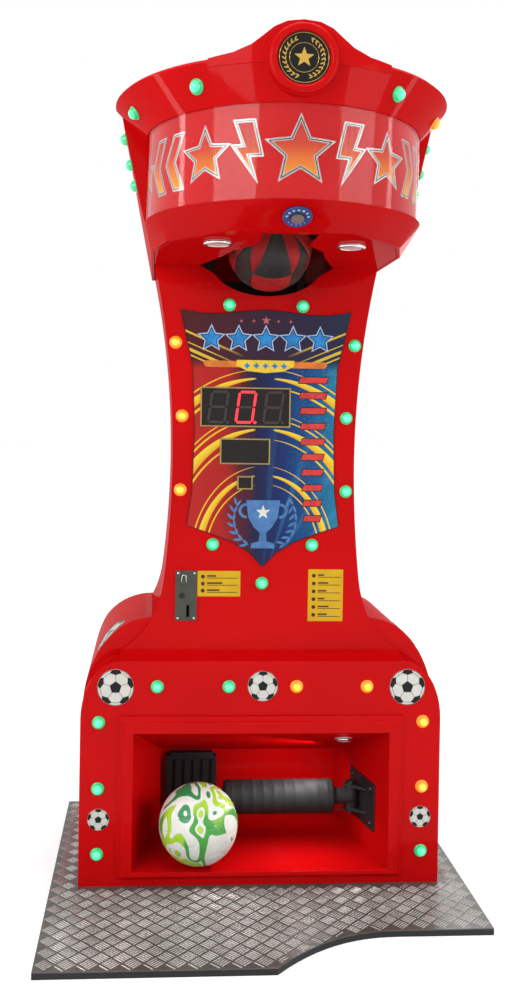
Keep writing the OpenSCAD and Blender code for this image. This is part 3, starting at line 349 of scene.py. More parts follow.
def board_print(corner):
    """The back of a circuit board: fine tracks in rows and columns, and rows of tinned pads."""
    f = Finish("circuit_board", Roughness=0.38, Coat_Weight=0.2, Coat_Roughness=0.1, Specular_IOR_Level=0.3)
    half_pitch, half_track = 0.0025, 0.0006
    x, _, z = f.xyz(corner)
    lane, row = x.wrap(half_pitch).abs(), z.wrap(half_pitch).abs()
    across = (row - half_track).under(0.0) * f.noise(0.03, 1.0, (0.35, 1, 3.0)).above(0.52, 0.01)
    upward = (lane - half_track).under(0.0) * f.noise(0.03, 1.0, (3.0, 1, 0.35)).above(0.54, 0.01)
    tracks = across.higher(upward)
    tone = f.mix(tracks, f.mottle(0.03, (0.008, 0.10, 0.04), (0.006, 0.075, 0.032)), (0.03, 0.22, 0.07))
    pad = (lane * lane + row * row).root().under(0.0011) * f.noise(0.02, 1.0).above(0.55, 0.01)
    f.set(Base_Color=f.mix(pad, tone, (0.56, 0.56, 0.54)), Metallic=pad)
    f.bump(tracks.higher(pad), 0.0001)


def ball_print():
    """White ball skin with broad flowing bands of two greens."""
    f = Finish("ball_skin_print", Roughness=0.34, Coat_Weight=0.2, Coat_Roughness=0.15, Specular_IOR_Level=0.3)
    swirl = f.noise(0.105, 0.0, (1.0, 1.0, 0.8), distortion=1.1)
    drift = f.noise(0.15, 0.0, (1.0, 1.0, 0.75), distortion=0.8)
    tone = f.mottle(0.02, (0.82, 0.83, 0.79), (0.74, 0.76, 0.70), 2.0, 0.3)
    lime = f.mix(drift.span(0.42, 0.53), (0.07, 0.36, 0.06), (0.37, 0.66, 0.03))
    tone = f.mix(swirl.within(0.50, 0.60, 0.003), tone, lime)
    tone = f.mix(swirl.within(0.35, 0.425, 0.003) * drift.above(0.43, 0.01), tone, (0.03, 0.27, 0.09))
    f.set(Base_Color=f.mix(swirl.within(0.64, 0.69, 0.003), tone, (0.44, 0.70, 0.06)))
    f.bump(f.cells(0.0016), 0.00012)


# ---------------------------------------------------------------- shapes

def shade(mesh, smooth=True):
    for face in mesh.polygons:
        face.use_smooth = smooth


def add_object(name, data, matrix=Matrix()):
    obj = bpy.data.objects.new(name, data)
    obj.matrix_world = matrix
    scene.collection.objects.link(obj)
    return obj


def add_mesh(name, bm, paint):
    mesh = bpy.data.meshes.new(name)
    bm.to_mesh(mesh)
    bm.free()
    mesh.materials.append(paints[paint])
    return add_object(name, mesh)


def link(name, bm, paint, body="machine", smooth=False):
    """Makes a piece from bm, in the row frame, riding on a body."""
    bmesh.ops.recalc_face_normals(bm, faces=bm.faces)
    obj = add_mesh(name, bm, paint)
    shade(obj.data, smooth)
    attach(obj, body)
    return obj


def soften(obj, width, segments=2):
    """Rounded edges, with flat faces that stay flat."""
    weld = obj.modifiers.new("weld", "WELD")
    weld.merge_threshold = 0.00002
    if width:
        edge = obj.modifiers.new("edge", "BEVEL")
        edge.width, edge.segments = width, segments
        edge.limit_method, edge.angle_limit = "ANGLE", math.radians(38)
        edge.use_clamp_overlap = True
    normals = obj.modifiers.new("normals", "WEIGHTED_NORMAL")
    normals.keep_sharp = True


def seat(place, out, up=UP):
    """Matrix of a seat: local Z points out, local Y is as near up as it can be."""
    out = Vector(out).normalized()
    across = Vector(up).cross(out).normalized()
    return Matrix.Translation(place) @ Matrix((across, out.cross(across), out)).transposed().to_4x4()


def extent(points):
    """The lowest and highest corners round some points."""
    return [Vector([pick(p[i] for p in points) for i in range(3)]) for pick in (min, max)]


def disc(radius, steps, centre=(0, 0)):
    turns = [2 * math.pi * i / steps for i in range(steps)]
    return [(centre[0] + radius * math.cos(a), centre[1] + radius * math.sin(a)) for a in turns]


def rect(x0, y0, x1, y1):
    return [(x0, y0), (x1, y0), (x1, y1), (x0, y1)]


def star(radius, points=5, inner=0.42, turn=0.0, centre=(0, 0)):
    return [(centre[0] + r * math.sin(a), centre[1] + r * math.cos(a)) for a, r in
            ((math.pi * i / points + turn, radius * (inner if i % 2 else 1)) for i in range(2 * points))]


def mirrored(half):
    """A closed outline from its right half, which starts and ends on the middle line."""
    return half + [(-px, pz) for px, pz in half[-2:0:-1]]


def twice_area(outline):
    return sum(a[0] * b[1] - b[0] * a[1] for a, b in zip(outline, outline[1:] + outline[:1]))


def inset(outline, by):
    """The outline moved inwards by a distance, with mitred corners."""
    side = 1 if twice_area(outline) > 0 else -1
    points = [Vector(p) for p in outline]
    made = []
    for before, p, after in zip(points[-1:] + points, points, points[1:] + points[:1]):
        n1, n2 = (Vector((-way.y, way.x)).normalized() * side for way in (p - before, after - p))
        mid = (n1 + n2).normalized()
        made.append(tuple(p + mid * (by / max(mid.dot(n1), 0.25))))
    return made


def lay(bm, outline, height, place):
    """Vertices along an outline, at a height of local Z."""
    return [bm.verts.new(place @ Vector((px, py, height))) for px, py in outline]


def fill(bm, *corners):
    """A face between corners of which some may be the same."""
    corners = [c for k, c in enumerate(corners) if c not in corners[:k]]
    if len(corners) > 2:
        bm.faces.new(corners)


def skin(bm, rings):
    """Faces between neighbouring rings of vertices. A ring of one vertex is a tip."""
    steps = max(map(len, rings))
    for a, b in zip(rings, rings[1:]):
        for i in range(steps):
            j = (i + 1) % steps
            fill(bm, a[i % len(a)], a[j % len(a)], b[j % len(b)], b[i % len(b)])


def turned(bm, profile, place, steps, weight=None):
    """Turns a profile of (radius, height) pairs round local Z. weight gives each ring's number."""
    layer = bm.verts.layers.float.get("near") or bm.verts.layers.float.new("near")
    rings = [lay(bm, disc(r, steps) if r > 1e-7 else [(0, 0)], h, place) for r, h in profile]
    for ring, near in zip(rings, weight or [0.0] * len(rings)):
        for v in ring:
            v[layer] = near
    skin(bm, rings)


def prism(bm, outline, low, high, place=Matrix()):
    """A flat outline between two heights of local Z."""
    foot, top = (lay(bm, outline, h, place) for h in (low, high))
    bm.faces.new(foot[::-1])
    bm.faces.new(top)
    skin(bm, (foot, top))


def relief(name, shapes, paint, place, rise=0.0003):
    """A piece of flat shapes that stand up by rise, with their foot in what carries them."""
    bm = bmesh.new()
    for shape in shapes:
        prism(bm, shape, FOOT, rise, place)
    link(name, bm, paint)


def tube(bm, outline, thick, place, rise=0.0, steps=6, closed=True):
    """A round wire along an outline, at a height of local Z."""
    points = [place @ Vector((px, py, rise)) for px, py in outline]
    befores, afters = points[-1:] + points[:-1], points[1:] + points[:1]
    if not closed:
        befores[0], afters[-1] = points[0], points[-1]
    rings = [lay(bm, disc(thick, steps), 0, seat(p, after - before, (0.13, 0.21, 1.0)))
             for before, p, after in zip(befores, points, afters)]
    skin(bm, rings + rings[:closed])
    if not closed:
        bm.faces.new(rings[0][::-1])
        bm.faces.new(rings[-1])


def screw(bm, place, radius, rise=None):
    """Domed screw head with a hexagon socket."""
    rise = rise or radius * 0.55
    steps, sixth, width = 24, math.pi / 3, 0.42
    dome = ((1.0, 0.0), (0.97, 0.35), (0.8, 0.85), (0.6, 1.0))
    rings = [lay(bm, disc(radius * share, steps), rise * h, place) for share, h in dome]
    socket = []
    for px, py in disc(radius * width, steps):
        share = 1 / math.cos((math.atan2(py, px) + sixth / 2) % sixth - sixth / 2)
        socket.append((px * share, py * share))
    rings += [lay(bm, socket, rise * h, place) for h in (1.0, 0.3)]
    skin(bm, rings)
    bm.faces.new(rings[-1])


def football():
    """The classic ball: its pentagons, and the seams between two hexagons, on a unit sphere."""
    g = (1 + 5 ** 0.5) / 2
    corners = [Vector(v).normalized() for s in (-1, 1) for t in (-g, g)
               for v in ((0, s, t), (s, t, 0), (t, 0, s))]
    pentagons, seams = [], []
    for i, c in enumerate(corners):
        near = [j for j in range(12) if j != i and (c - corners[j]).length < 1.1]
        a = corners[near[0]] - c
        b = c.cross(a)
        ring = sorted(near, key=lambda j: math.atan2((corners[j] - c).dot(b), (corners[j] - c).dot(a)))
        pentagons.append([c.lerp(corners[j], 1 / 3).normalized() for j in ring])
        seams += [[c.lerp(corners[j], k / 3).normalized() for k in (1, 2)] for j in near if j > i]
    return corners, pentagons, seams


def node_mesh(node):
    """A copy of a CAD node's mesh with its corners joined."""
    bm = bmesh.new()
    bm.from_mesh(nodes[node].data)
    bmesh.ops.remove_doubles(bm, verts=bm.verts, dist=0.00001)
    return bm


def surface(node):
    """A node's surface, for finding points on it with rays."""
    bm = node_mesh(node)
    made = BVHTree.FromBMesh(bm)
    bm.free()
    return made


def loose_parts(node):
    """The separate solids of a CAD node, each as a list of (face normal, face centre, area, corners)."""
    bm = node_mesh(node)
    left, parts = set(bm.faces), []
    while left:
        queue, group = [left.pop()], []
        while queue:
            face = queue.pop()
            group.append(face)
            for other in (other for edge in face.edges for other in edge.link_faces if other in left):
                left.discard(other)
                queue.append(other)
        parts.append([(f.normal.copy(), f.calc_center_median(), f.calc_area(), [v.co.copy() for v in f.verts])
                      for f in group])
    bm.free()
    return parts


def part_boxes(node):
    """The lowest and highest corners of each separate solid of a node."""
    return [extent([c for face in faces for c in face[3]]) for faces in loose_parts(node)]


def lamp_seats(node):
    """Seat centre and outward axis of each lamp in a node: its flat back faces show the axis."""
    seats, flat_cosine, same_level, step = [], 0.9995, 0.0005, 0.002
    for faces in loose_parts(node):
        tally = {}
        for normal, _, area, _ in faces:
            key = tuple(round(c, 2) for c in normal)
            tally[key] = tally.get(key, 0.0) + area
        back = Vector(max(tally, key=tally.get)).normalized()
        flat = [f for f in faces if f[0].dot(back) > flat_cosine]
        depth = [f[1].dot(back) for f in flat]
        end = [f for f, d in zip(flat, depth) if d > max(depth) - same_level]
        rim = [d for d in depth if d < max(depth) - step]
        centre = sum((f[1] * f[2] for f in end), Vector()) / sum(f[2] for f in end)
        seats.append((centre - back * (max(depth) - max(rim)), -back))
    return seats


def outline_of(node, out):
    """The outline of a node's flat face that looks along out, as points from the lowest one round."""
    bm = node_mesh(node)
    reach = max(v.co.dot(out) for v in bm.verts)
    flat = {f for f in bm.faces
            if f.normal.dot(out) > 0.999 and f.calc_center_median().dot(out) > reach - 0.0005}
    edges = {e for f in flat for e in f.edges if len(flat.intersection(e.link_faces)) == 1}
    first = at = min((v for e in edges for v in e.verts), key=lambda v: v.co.z)
    run = []
    while at is not first or not run:
        run.append(at.co.copy())
        edge = next(e for e in at.link_edges if e in edges)
        edges.discard(edge)
        at = edge.other_vert(at)
    bm.free()
    return run


# ---------------------------------------------------------------- pieces

def dress(names, paint, bevel, segments=2):
    """Gives CAD nodes a finish and a bevel in millimetres."""
    for obj in map(nodes.get, names.split()):
        obj.data.materials.clear()
        obj.data.materials.append(paints[paint])
        shade(obj.data)
        with bpy.context.temp_override(object=obj, active_object=obj, selected_objects=[obj]):
            if obj.data.has_custom_normals:
                bpy.ops.mesh.customdata_custom_splitnormals_clear()
        soften(obj, bevel * MM, segments)


def lamps():
    """Lit domes in flanges, in place of each lamp."""
    tones = {"green": ((0.07, 0.76, 0.36), (0.0, 0.36, 0.11)),
             "amber": ((0.86, 0.45, 0.025), (0.80, 0.20, 0.006))}
    r, flange, rise, stem, depth = 0.015, 0.018, 0.017, 0.0095, -0.022
    slopes = [math.radians(d) for d in range(6, 90, 7)]
    profile = [(0, depth), (stem, depth), (stem + 0.0003, -0.0004), (flange - 0.0006, -0.0002),
               (flange, 0.0006), (flange - 0.0002, 0.0018), (flange - 0.0012, 0.0027), (r + 0.0004, 0.003)]
    profile += [(r * math.cos(a), 0.002 + r * math.sin(a)) for a in slopes] + [(0, rise)]
    weight = [0.0] * 7 + [0.12] + [0.1 + 0.9 * math.sin(a) ** 2.4 for a in slopes] + [1.0]
    for tone, (pale, deep) in tones.items():
        lit_lens(tone + "_lens_lit", pale, deep)
        for place in ("base", "column", "crest"):
            node = f"{place}_lamps_{tone}"
            bm = bmesh.new()
            for centre, out in lamp_seats(node):
                turned(bm, profile, seat(centre, out), 32, weight)
            obj = link(f"{place}_lenses_{tone}", bm, tone + "_lens_lit", smooth=True)
            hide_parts(node)


def draw_emblem(place, r, patches, lines):
    """Black panels and seams of the classic ball, drawn flat in place."""
    seam, rim = r * 0.012, r * 0.014
    corners, pentagons, seams = football()
    turn = corners[0].rotation_difference(UP).to_matrix()
    first = turn @ pentagons[0][0]
    spin = Matrix.Rotation(math.pi / 2 - math.atan2(first.y, first.x), 3, "Z") @ turn

    def flat(v):
        v = spin @ v
        if v.z < 0.02:
            v = Vector((v.x, v.y, 0)).normalized()
        return v.x * r, v.y * r
    for panel in pentagons:
        if (spin @ sum(panel, Vector())).z >= -0.2:
            shape = [flat(panel[i].lerp(panel[(i + 1) % 5], k / 4).normalized())
                     for i in range(5) for k in range(4)]
            if abs(twice_area(shape)) > r * r * 0.04:
                prism(patches, shape, 0.00004, 0.00035, place)
    bmesh.ops.remove_doubles(patches, verts=patches.verts, dist=1e-6)
    for a, b in seams:
        if max((spin @ a).z, (spin @ b).z) > 0.05:
            run = [flat(a.lerp(b, k / 5).normalized()) for k in range(6)]
            tube(lines, run, seam, place, 0.0001, closed=False)
    tube(lines, disc(r * 0.995, 40), rim, place)


def emblems():
    """The classic ball on each white emblem, and on two stickers that wrap over the base's shoulders."""
    fit = 0.985  # the drawing's share of the emblem's radius
    patches, lines = bmesh.new(), bmesh.new()
    for low, high in part_boxes("ball_emblems"):
        place = seat(((low.x + high.x) / 2, low.y, (low.z + high.z) / 2), FRONT)
        draw_emblem(place, (high.x - low.x) / 2 * fit, patches, lines)
    link("emblem_patches", patches, "black_print")
    link("emblem_seams", lines, "seam_ink", smooth=True)
    shell, r, proud, sunk = surface("base_shell"), 0.056, 0.0006, -0.0004
    sticker_x, sticker_y, above = 0.431, 0.138, 1.0
    for side, label in ((-1, "left"), (1, "right")):
        spot, out, _, _ = shell.ray_cast(Vector((side * sticker_x, sticker_y, above)), -UP)
        place = seat(spot, out, BACK)
        film, patches, lines = bmesh.new(), bmesh.new(), bmesh.new()
        radii = [r * k / 12 for k in range(13)]
        turned(film, [(q, proud) for q in radii] + [(q, sunk) for q in radii[::-1]], place, 48)
        draw_emblem(place @ Matrix.Translation((0, 0, proud)), r * fit, patches, lines)
        bmesh.ops.triangulate(patches, faces=patches.faces)
        bmesh.ops.subdivide_edges(patches, edges=patches.edges, cuts=3, use_grid_fill=True)
        for bm, paint, name in ((film, "white_print", "skin"), (patches, "black_print", "patches"),
                                (lines, "seam_ink", "seams")):
            for v in bm.verts:
                local = place.inverted() @ v.co
                hit, normal, _, _ = shell.ray_cast(place @ Vector((local.x, local.y, 0.06)), -out)
                if hit:
                    v.co = hit + normal * local.z
            link(f"shoulder_{label}_{name}", bm, paint, smooth=True)


def game_ball():
    """The ball: puffed panels between sunk seams."""
    low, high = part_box("kick_ball")
    centre, r = (low + high) / 2, (high.x - low.x) / 2
    bm = bmesh.new()
    bmesh.ops.create_icosphere(bm, subdivisions=7, radius=1.0)
    way = np.array([v.co for v in bm.verts])
    _, pentagons, seams = football()
    tilt = Matrix.Rotation(0.5, 3, "X") @ Matrix.Rotation(0.35, 3, "Z")
    nearest = np.full(len(way), 9.0)
    for a, b in seams + [(p[i], p[(i + 1) % 5]) for p in pentagons for i in range(5)]:
        a, b = np.array(tilt @ a), np.array(tilt @ b)
        share = np.clip(((way - a) @ (b - a)) / ((b - a) @ (b - a)), 0, 1)
        on_arc = a + share[:, None] * (b - a)
        on_arc /= np.linalg.norm(on_arc, axis=1)[:, None]
        nearest = np.minimum(nearest, np.linalg.norm(way - on_arc, axis=1))
    groove, groove_half, hollow, hollow_reach = 0.0011, 0.0013, 0.0007, 0.006
    sunk = groove * np.exp(-(nearest * r / groove_half) ** 2) + hollow * np.exp(-nearest * r / hollow_reach)
    for v, depth in zip(bm.verts, sunk):
        v.co = centre + v.co * (r - depth)
    ball_print()
    ball = link("game_ball", bm, "ball_skin_print", "kicker", smooth=True)
    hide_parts("kick_ball")


def tread_bars():
    """Raised bars of the tread plate, five to a cell, the cells turned by 45 degrees in a basket weave."""
    base, top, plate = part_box("base_shell"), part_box("tread_plate")[1].z, surface("tread_plate")
    cell, pitch, length, width, rise, sunk, margin = 0.037, 0.185, 0.031, 0.0036, 0.0016, 0.0001, 0.004
    # Along a bar: place, height and half width, as shares of its length, rise and width
    profile = ((-0.5, 0.0, 0.5), (-0.47, 0.55, 0.36), (-0.25, 1.0, 0.18),
               (0.25, 1.0, 0.18), (0.47, 0.55, 0.36), (0.5, 0.0, 0.5))
    bm = bmesh.new()

    def on_plate(p):
        if base[0].x - margin < p.x < base[1].x + margin and p.y > base[0].y - margin:
            return False
        return plate.ray_cast(Vector((p.x, p.y, top + 0.01)), -UP)[2] is not None

    def add_bar(middle, way, side):
        def pair(share, half, height):
            return [bm.verts.new(middle + way * (share * length) + side * (s * half * width) + UP * height)
                    for s in (-1, 1)]
        rows = [pair(share, half, h * rise or -sunk) for share, h, half in profile]
        foot = rows[:1] + [pair(share, 0.5, -sunk) for share, _, _ in profile[1:-1]] + rows[-1:]
        for a, b, c, d in zip(foot, foot[1:], rows, rows[1:]):
            bm.faces.new((c[0], c[1], d[1], d[0]))
            for s in (0, 1):
                fill(bm, a[s], b[s], d[s], c[s])
    field, shift, slope = 1.6, 0.2, math.sqrt(0.5)
    reach = int(field / cell)
    for i, j in product(range(-reach, reach), repeat=2):
        centre = Vector(((i - j) * cell * slope, (i + j) * cell * slope - shift, top))
        way = Vector((slope, slope if (i + j) % 2 else -slope, 0))
        side = Vector((-way.y, way.x, 0))
        for k in range(-2, 3):
            middle = centre + side * (k * cell * pitch)
            if all(on_plate(middle + way * (e * length / 2) + side * (s * margin))
                   for e, s in product((-1, 1), repeat=2)):
                add_bar(middle, way, side)
    # Their paler metal is partly wear on their tops and partly a painted highlight of their raised sides.
    link("tread_bars", bm, "tread_bar_wear_and_highlight_metal", smooth=True)


def marquee_art():
    """Stars, bolts and chevrons with double outlines, wrapped round the marquee's print."""
    low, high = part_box("marquee_backing")
    radius, middle = high.x, (low.z + high.z) / 2
    bolt = [(-0.018, 0.072), (0.034, 0.072), (0.014, 0.018), (0.040, 0.018), (-0.026, -0.072),
            (-0.008, -0.012), (-0.038, -0.012)]
    chevron = [(-0.036, 0.066), (0.004, 0.066), (0.040, 0.0), (0.004, -0.066), (-0.036, -0.066),
               (-0.004, 0.0)]
    shapes = [star(0.084, inner=0.46)]
    for side in (-1, 1):
        for shape, at, flip in ((bolt, 0.118, side), (star(0.070, inner=0.46), 0.222, 1),
                                (chevron, 0.318, side), (chevron, 0.388, side),
                                (star(0.056, inner=0.46), 0.475, 1)):
            shapes.append([(side * at + flip * px, py) for px, py in shape][::flip])
    f = Finish("marquee_fill", Roughness=0.5, Specular_IOR_Level=0.1)
    _, _, z = f.xyz()
    tone = f.ramp(z.span(middle - 0.075, middle + 0.075),
                  ((0.0, (0.80, 0.38, 0.04)), (0.3, (0.72, 0.20, 0.03)), (0.6, (0.56, 0.06, 0.03)),
                   (1.0, (0.50, 0.03, 0.04))))
    f.set(Base_Color=tone, Emission_Color=tone, Emission_Strength=0.12)
    layers = ((0.0, "silver_print", "outline"), (0.0034, "black_print", "line"),
              (0.0056, "silver_print", "inline"), (0.0076, "marquee_fill", "fill"))
    for level, (by, paint, label) in enumerate(layers):
        bm = bmesh.new()
        for shape in shapes:
            prism(bm, inset(shape, by) if by else shape, FOOT, 0.0001 + 0.00008 * level)
        bmesh.ops.triangulate(bm, faces=bm.faces)
        for k in range(-56, 57):  # cut every 10 mm, so that the shapes bend
            bmesh.ops.bisect_plane(bm, geom=bm.verts[:] + bm.edges[:] + bm.faces[:],
                                   plane_co=(k * 0.010, 0, 0), plane_no=(1, 0, 0), dist=1e-6)
        for v in bm.verts:
            turn, out = v.co.x / radius, radius + v.co.z
            v.co = Vector((out * math.sin(turn), low.y + radius - out * math.cos(turn), middle + v.co.y))
        link("marquee_" + label, bm, paint)


def leaf_wreath(centre, radius, size, count, start, step=0.235):
    """Two branches of leaves in pairs, open at the top, as outlines."""
    shapes = []
    for side in (-1, 1):
        for k in range(count):
            a = side * (start + k * step) + math.pi
            for lean in (-1, 1):
                spot = Vector((math.sin(a), math.cos(a))) * (radius + 0.45 * size * lean)
                turn = -a - side * 1.2 + lean * 0.45
                along = Vector((-math.sin(turn), math.cos(turn))) * size
                across = Vector((along.y, -along.x)) * 0.30
                ring = [-along, -along * 0.3 + across, along * 0.4 + across * 0.8, along,
                        along * 0.4 - across * 0.8, -along * 0.3 - across]
                shapes.append([tuple(Vector(centre) + spot + q) for q in ring])
    return shapes


def shield_art():
    """The shield's printed figures: a row of stars, a striped ribbon, a scale of bars and a cup in leaves."""
    low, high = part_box("shield_panel")
    top, foot = high.z, low.z
    front = seat((0, low.y, 0), FRONT)
    for name, colour, dim in (("halo", (0.42, 0.58, 0.86), 0.75), ("blue", (0.02, 0.26, 0.66), 0.6),
                              ("pink", (0.50, 0.13, 0.14), 0.8), ("orange", (0.74, 0.20, 0.025), 0.7),
                              ("yellow", (0.80, 0.58, 0.04), 0.85), ("scale_red", (0.66, 0.045, 0.04), 0.7),
                              ("pale_blue", (0.07, 0.20, 0.46), 0.7), ("cream", (0.75, 0.74, 0.66), 0.85)):
        plain("print_" + name, colour, 0.3, coat=0.25, patch=0.02, shade=dim, depth=0.00001)

    def decal(name, shapes, paint, level):
        """Thin printed shapes, as outlines of (x, z). Higher levels lie over lower ones."""
        relief("shield_" + name, shapes, paint, front, 0.0001 * (level + 1))

    def bar(k, grow):
        z, reach, tall = top - 0.196 - k * 0.0435, 0.078 - 0.0035 * k, 0.0082
        x, lean = 0.098 + 0.002 * k, 0.003
        return [(x - grow - lean, z - tall - grow), (x + reach + grow - lean, z - tall - grow),
                (x + reach + grow + lean, z + tall + grow), (x - grow + lean, z + tall + grow)]
    row = [(k * 0.077, top - 0.083) for k in range(-2, 3)]
    for level, (size, paint, label) in enumerate((
            (0.0415, "print_halo", "halo"), (0.034, "black_print", "edge"), (0.0285, "print_blue", "fill"))):
        decal("star_" + label, [star(size, inner=0.48, centre=c) for c in row], paint, level)
    sparks = [star(0.0055, 4, 0.45, centre=(s * d, top - 0.031 - d * 0.02))
              for s in (-1, 1) for d in (0.035, 0.07)]
    decal("small_marks", [star(0.013, centre=(0, top - 0.030))] + sparks, "print_pink", 0)
    band = top - 0.154
    decal("ribbon", [[(-0.176, band), (-0.168, band - 0.009), (0.168, band - 0.009), (0.176, band),
                      (0.168, band + 0.009), (-0.168, band + 0.009)]], "print_orange", 0)
    middle = ((0, -0.024), (0.05, -0.019), (0.082, -0.004), (0.082, 0.012), (0, 0.012))
    decal("ribbon_middle", [mirrored([(px, band + pz) for px, pz in middle])], "print_yellow", 1)
    decal("ribbon_marks", [star(0.0095, 4, 0.55, centre=(k * 0.026, band - 0.004)) for k in range(-2, 3)],
          "print_blue", 2)
    decal("scale_edge", [bar(k, 0.0022) for k in range(10)], "black_print", 0)
    decal("scale", [bar(k, 0.0) for k in range(10)], "print_scale_red", 1)
    cup = ((0, 0.052), (0.034, 0.052), (0.032, 0.066), (0.011, 0.072), (0.009, 0.096), (0.026, 0.112),
           (0.042, 0.140), (0.048, 0.188), (0, 0.188))
    turns = [math.pi * k / 12 for k in range(13)]
    handles = [[(side * (0.046 + r * math.sin(a)), foot + 0.158 + r * 0.9 * math.cos(a))
                for r, run in ((0.024, turns), (0.016, turns[::-1])) for a in run] for side in (-1, 1)]
    decal("cup", [mirrored([(px, foot + pz) for px, pz in cup])] + handles, "print_pale_blue", 0)
    decal("leaves", leaf_wreath((0, foot + 0.135), 0.088, 0.0125, 7, 0.64, 0.25), "print_pale_blue", 0)
    decal("cup_star", [star(0.021, centre=(0, foot + 0.154))], "print_cream", 1)
    rim = bmesh.new()
    tube(rim, [(p.x, p.z) for p in outline_of("shield_panel", FRONT)], 0.0011, front)
    link("shield_edge_line", rim, "black_print", smooth=True)


def badge_art():
    """A gold star in rings, with a wreath of short leaves."""
    low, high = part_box("crest_badge")
    r = (high.x - low.x) / 2
    place = seat((0, low.y, (low.z + high.z) / 2), FRONT)
    bm = bmesh.new()
    prism(bm, star(r * 0.40), FOOT, 0.0009, place)
    for ring, thick in ((0.95, 0.0007), (0.56, 0.0006)):
        tube(bm, disc(r * ring, 72), thick, place, 0.0001)
    for leaf in leaf_wreath((0, 0), r * 0.755, 0.0052, 11, 0.35):
        prism(bm, leaf, -0.0001, 0.0006, place)
    link("badge_emblem", bm, "gold_trim")


def digits():
    """Slanted seven-segment digits in the score window: the middle one shows a nought and its point."""
    low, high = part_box("score_display")
    middle = (low + high) / 2
    pitch, w = 0.078, 0.046
    h, t, gap = w * 0.93, w * 0.15, w * 0.03
    slant = Matrix(((1, 0.13, 0, 0), (0, 1, 0, 0), (0, 0, 1, 0), (0, 0, 0, 1)))
    # Each segment from corner to corner, the first six round the nought and the last across its middle
    segments = ((-1, 1, 1, 1), (1, 0, 1, 1), (1, -1, 1, 0), (-1, -1, 1, -1), (-1, -1, -1, 0), (-1, 0, -1, 1),
                (-1, 0, 1, 0))
    lit, dark = bmesh.new(), bmesh.new()
    for place in (-1, 0, 1):
        front = seat((middle.x + 0.001 + place * pitch, low.y - 0.0004, middle.z), FRONT) @ slant
        for index, (x0, y0, x1, y1) in enumerate(segments):
            a, b = Vector((x0 * w / 2, y0 * h)), Vector((x1 * w / 2, y1 * h))
            way = (b - a).normalized()
            side = Vector((-way.y, way.x)) * (t / 2)
            a, b, way = a + way * gap, b - way * gap, way * (t / 2)
            outline = [a, a + way + side, b - way + side, b, b - way - side, a + way - side]
            prism(lit if place == 0 and index < 6 else dark, outline, -0.0003, 0.0002, front)
        point = disc(t * 0.62, 20, (w / 2 + t * 1.25, -h))
        prism(dark if place else lit, point, -0.0003, 0.0002, front)
    link("score_lit", lit, "digit_on")
    link("score_dark", dark, "digit_off")


def label_marks():
    """Plain marks on the two yellow labels: coins and bars."""
    bm, left, rise = bmesh.new(), 0.028, 0.0003
    for low, high in part_boxes("label_plates"):
        w, h = high.x - low.x, high.z - low.z
        rows = 3 if w > h else 6
        place = seat(low, FRONT)
        pitch = h / (rows + 0.6)
        for row in range(rows):
            cy = h - pitch * (row + 0.8)
            prism(bm, disc(0.0055, 20, (0.016, cy)), 0, rise, place)
            uneven = ((row * 37) % 10) / 10
            length = (0.35 + 0.35 * uneven) * (w - 0.05)
            for end, half, shift in ((length, 0.0022, 0.0018), (w - 0.036, 0.0009, -0.0042)):
                prism(bm, rect(left, cy + shift - half, left + end, cy + shift + half), 0, rise, place)
    link("label_marks", bm, "label_ink")


def bake(obj):
    """Makes what the modifiers show the piece's own mesh."""
    mesh = bpy.data.meshes.new_from_object(obj.evaluated_get(bpy.context.evaluated_depsgraph_get()))
    obj.modifiers.clear()
    obj.data = mesh


def apply_modifier(obj, kind, **values):
    made = obj.modifiers.new(kind.lower(), kind)
    for key, item in values.items():
        setattr(made, key, item)
    bpy.context.view_layer.update()
    bake(obj)


def swell(obj, pressure, cap):
    """Blows the piece up as cloth for 20 frames, then holds each point within cap of its start."""
    frames = 20
    start = np.array([v.co for v in obj.data.vertices])
    cloth = obj.modifiers.new("cloth", "CLOTH")
    cloth.settings.quality = 5
    cloth.settings.use_pressure = True
    cloth.settings.uniform_pressure_force = pressure
    cloth.settings.effector_weights.gravity = 0.0
    cloth.point_cache.frame_start, cloth.point_cache.frame_end = 1, frames
    for step in range(1, frames + 1):
        scene.frame_set(step)
    bake(obj)
    shift = np.array([v.co for v in obj.data.vertices]) - start
    size = np.linalg.norm(shift, axis=1)
    shift *= np.minimum(1.0, cap / np.maximum(size, 1e-9))[:, None]
    for v, co in zip(obj.data.vertices, start + shift):
        v.co = co
    scene.frame_set(1)


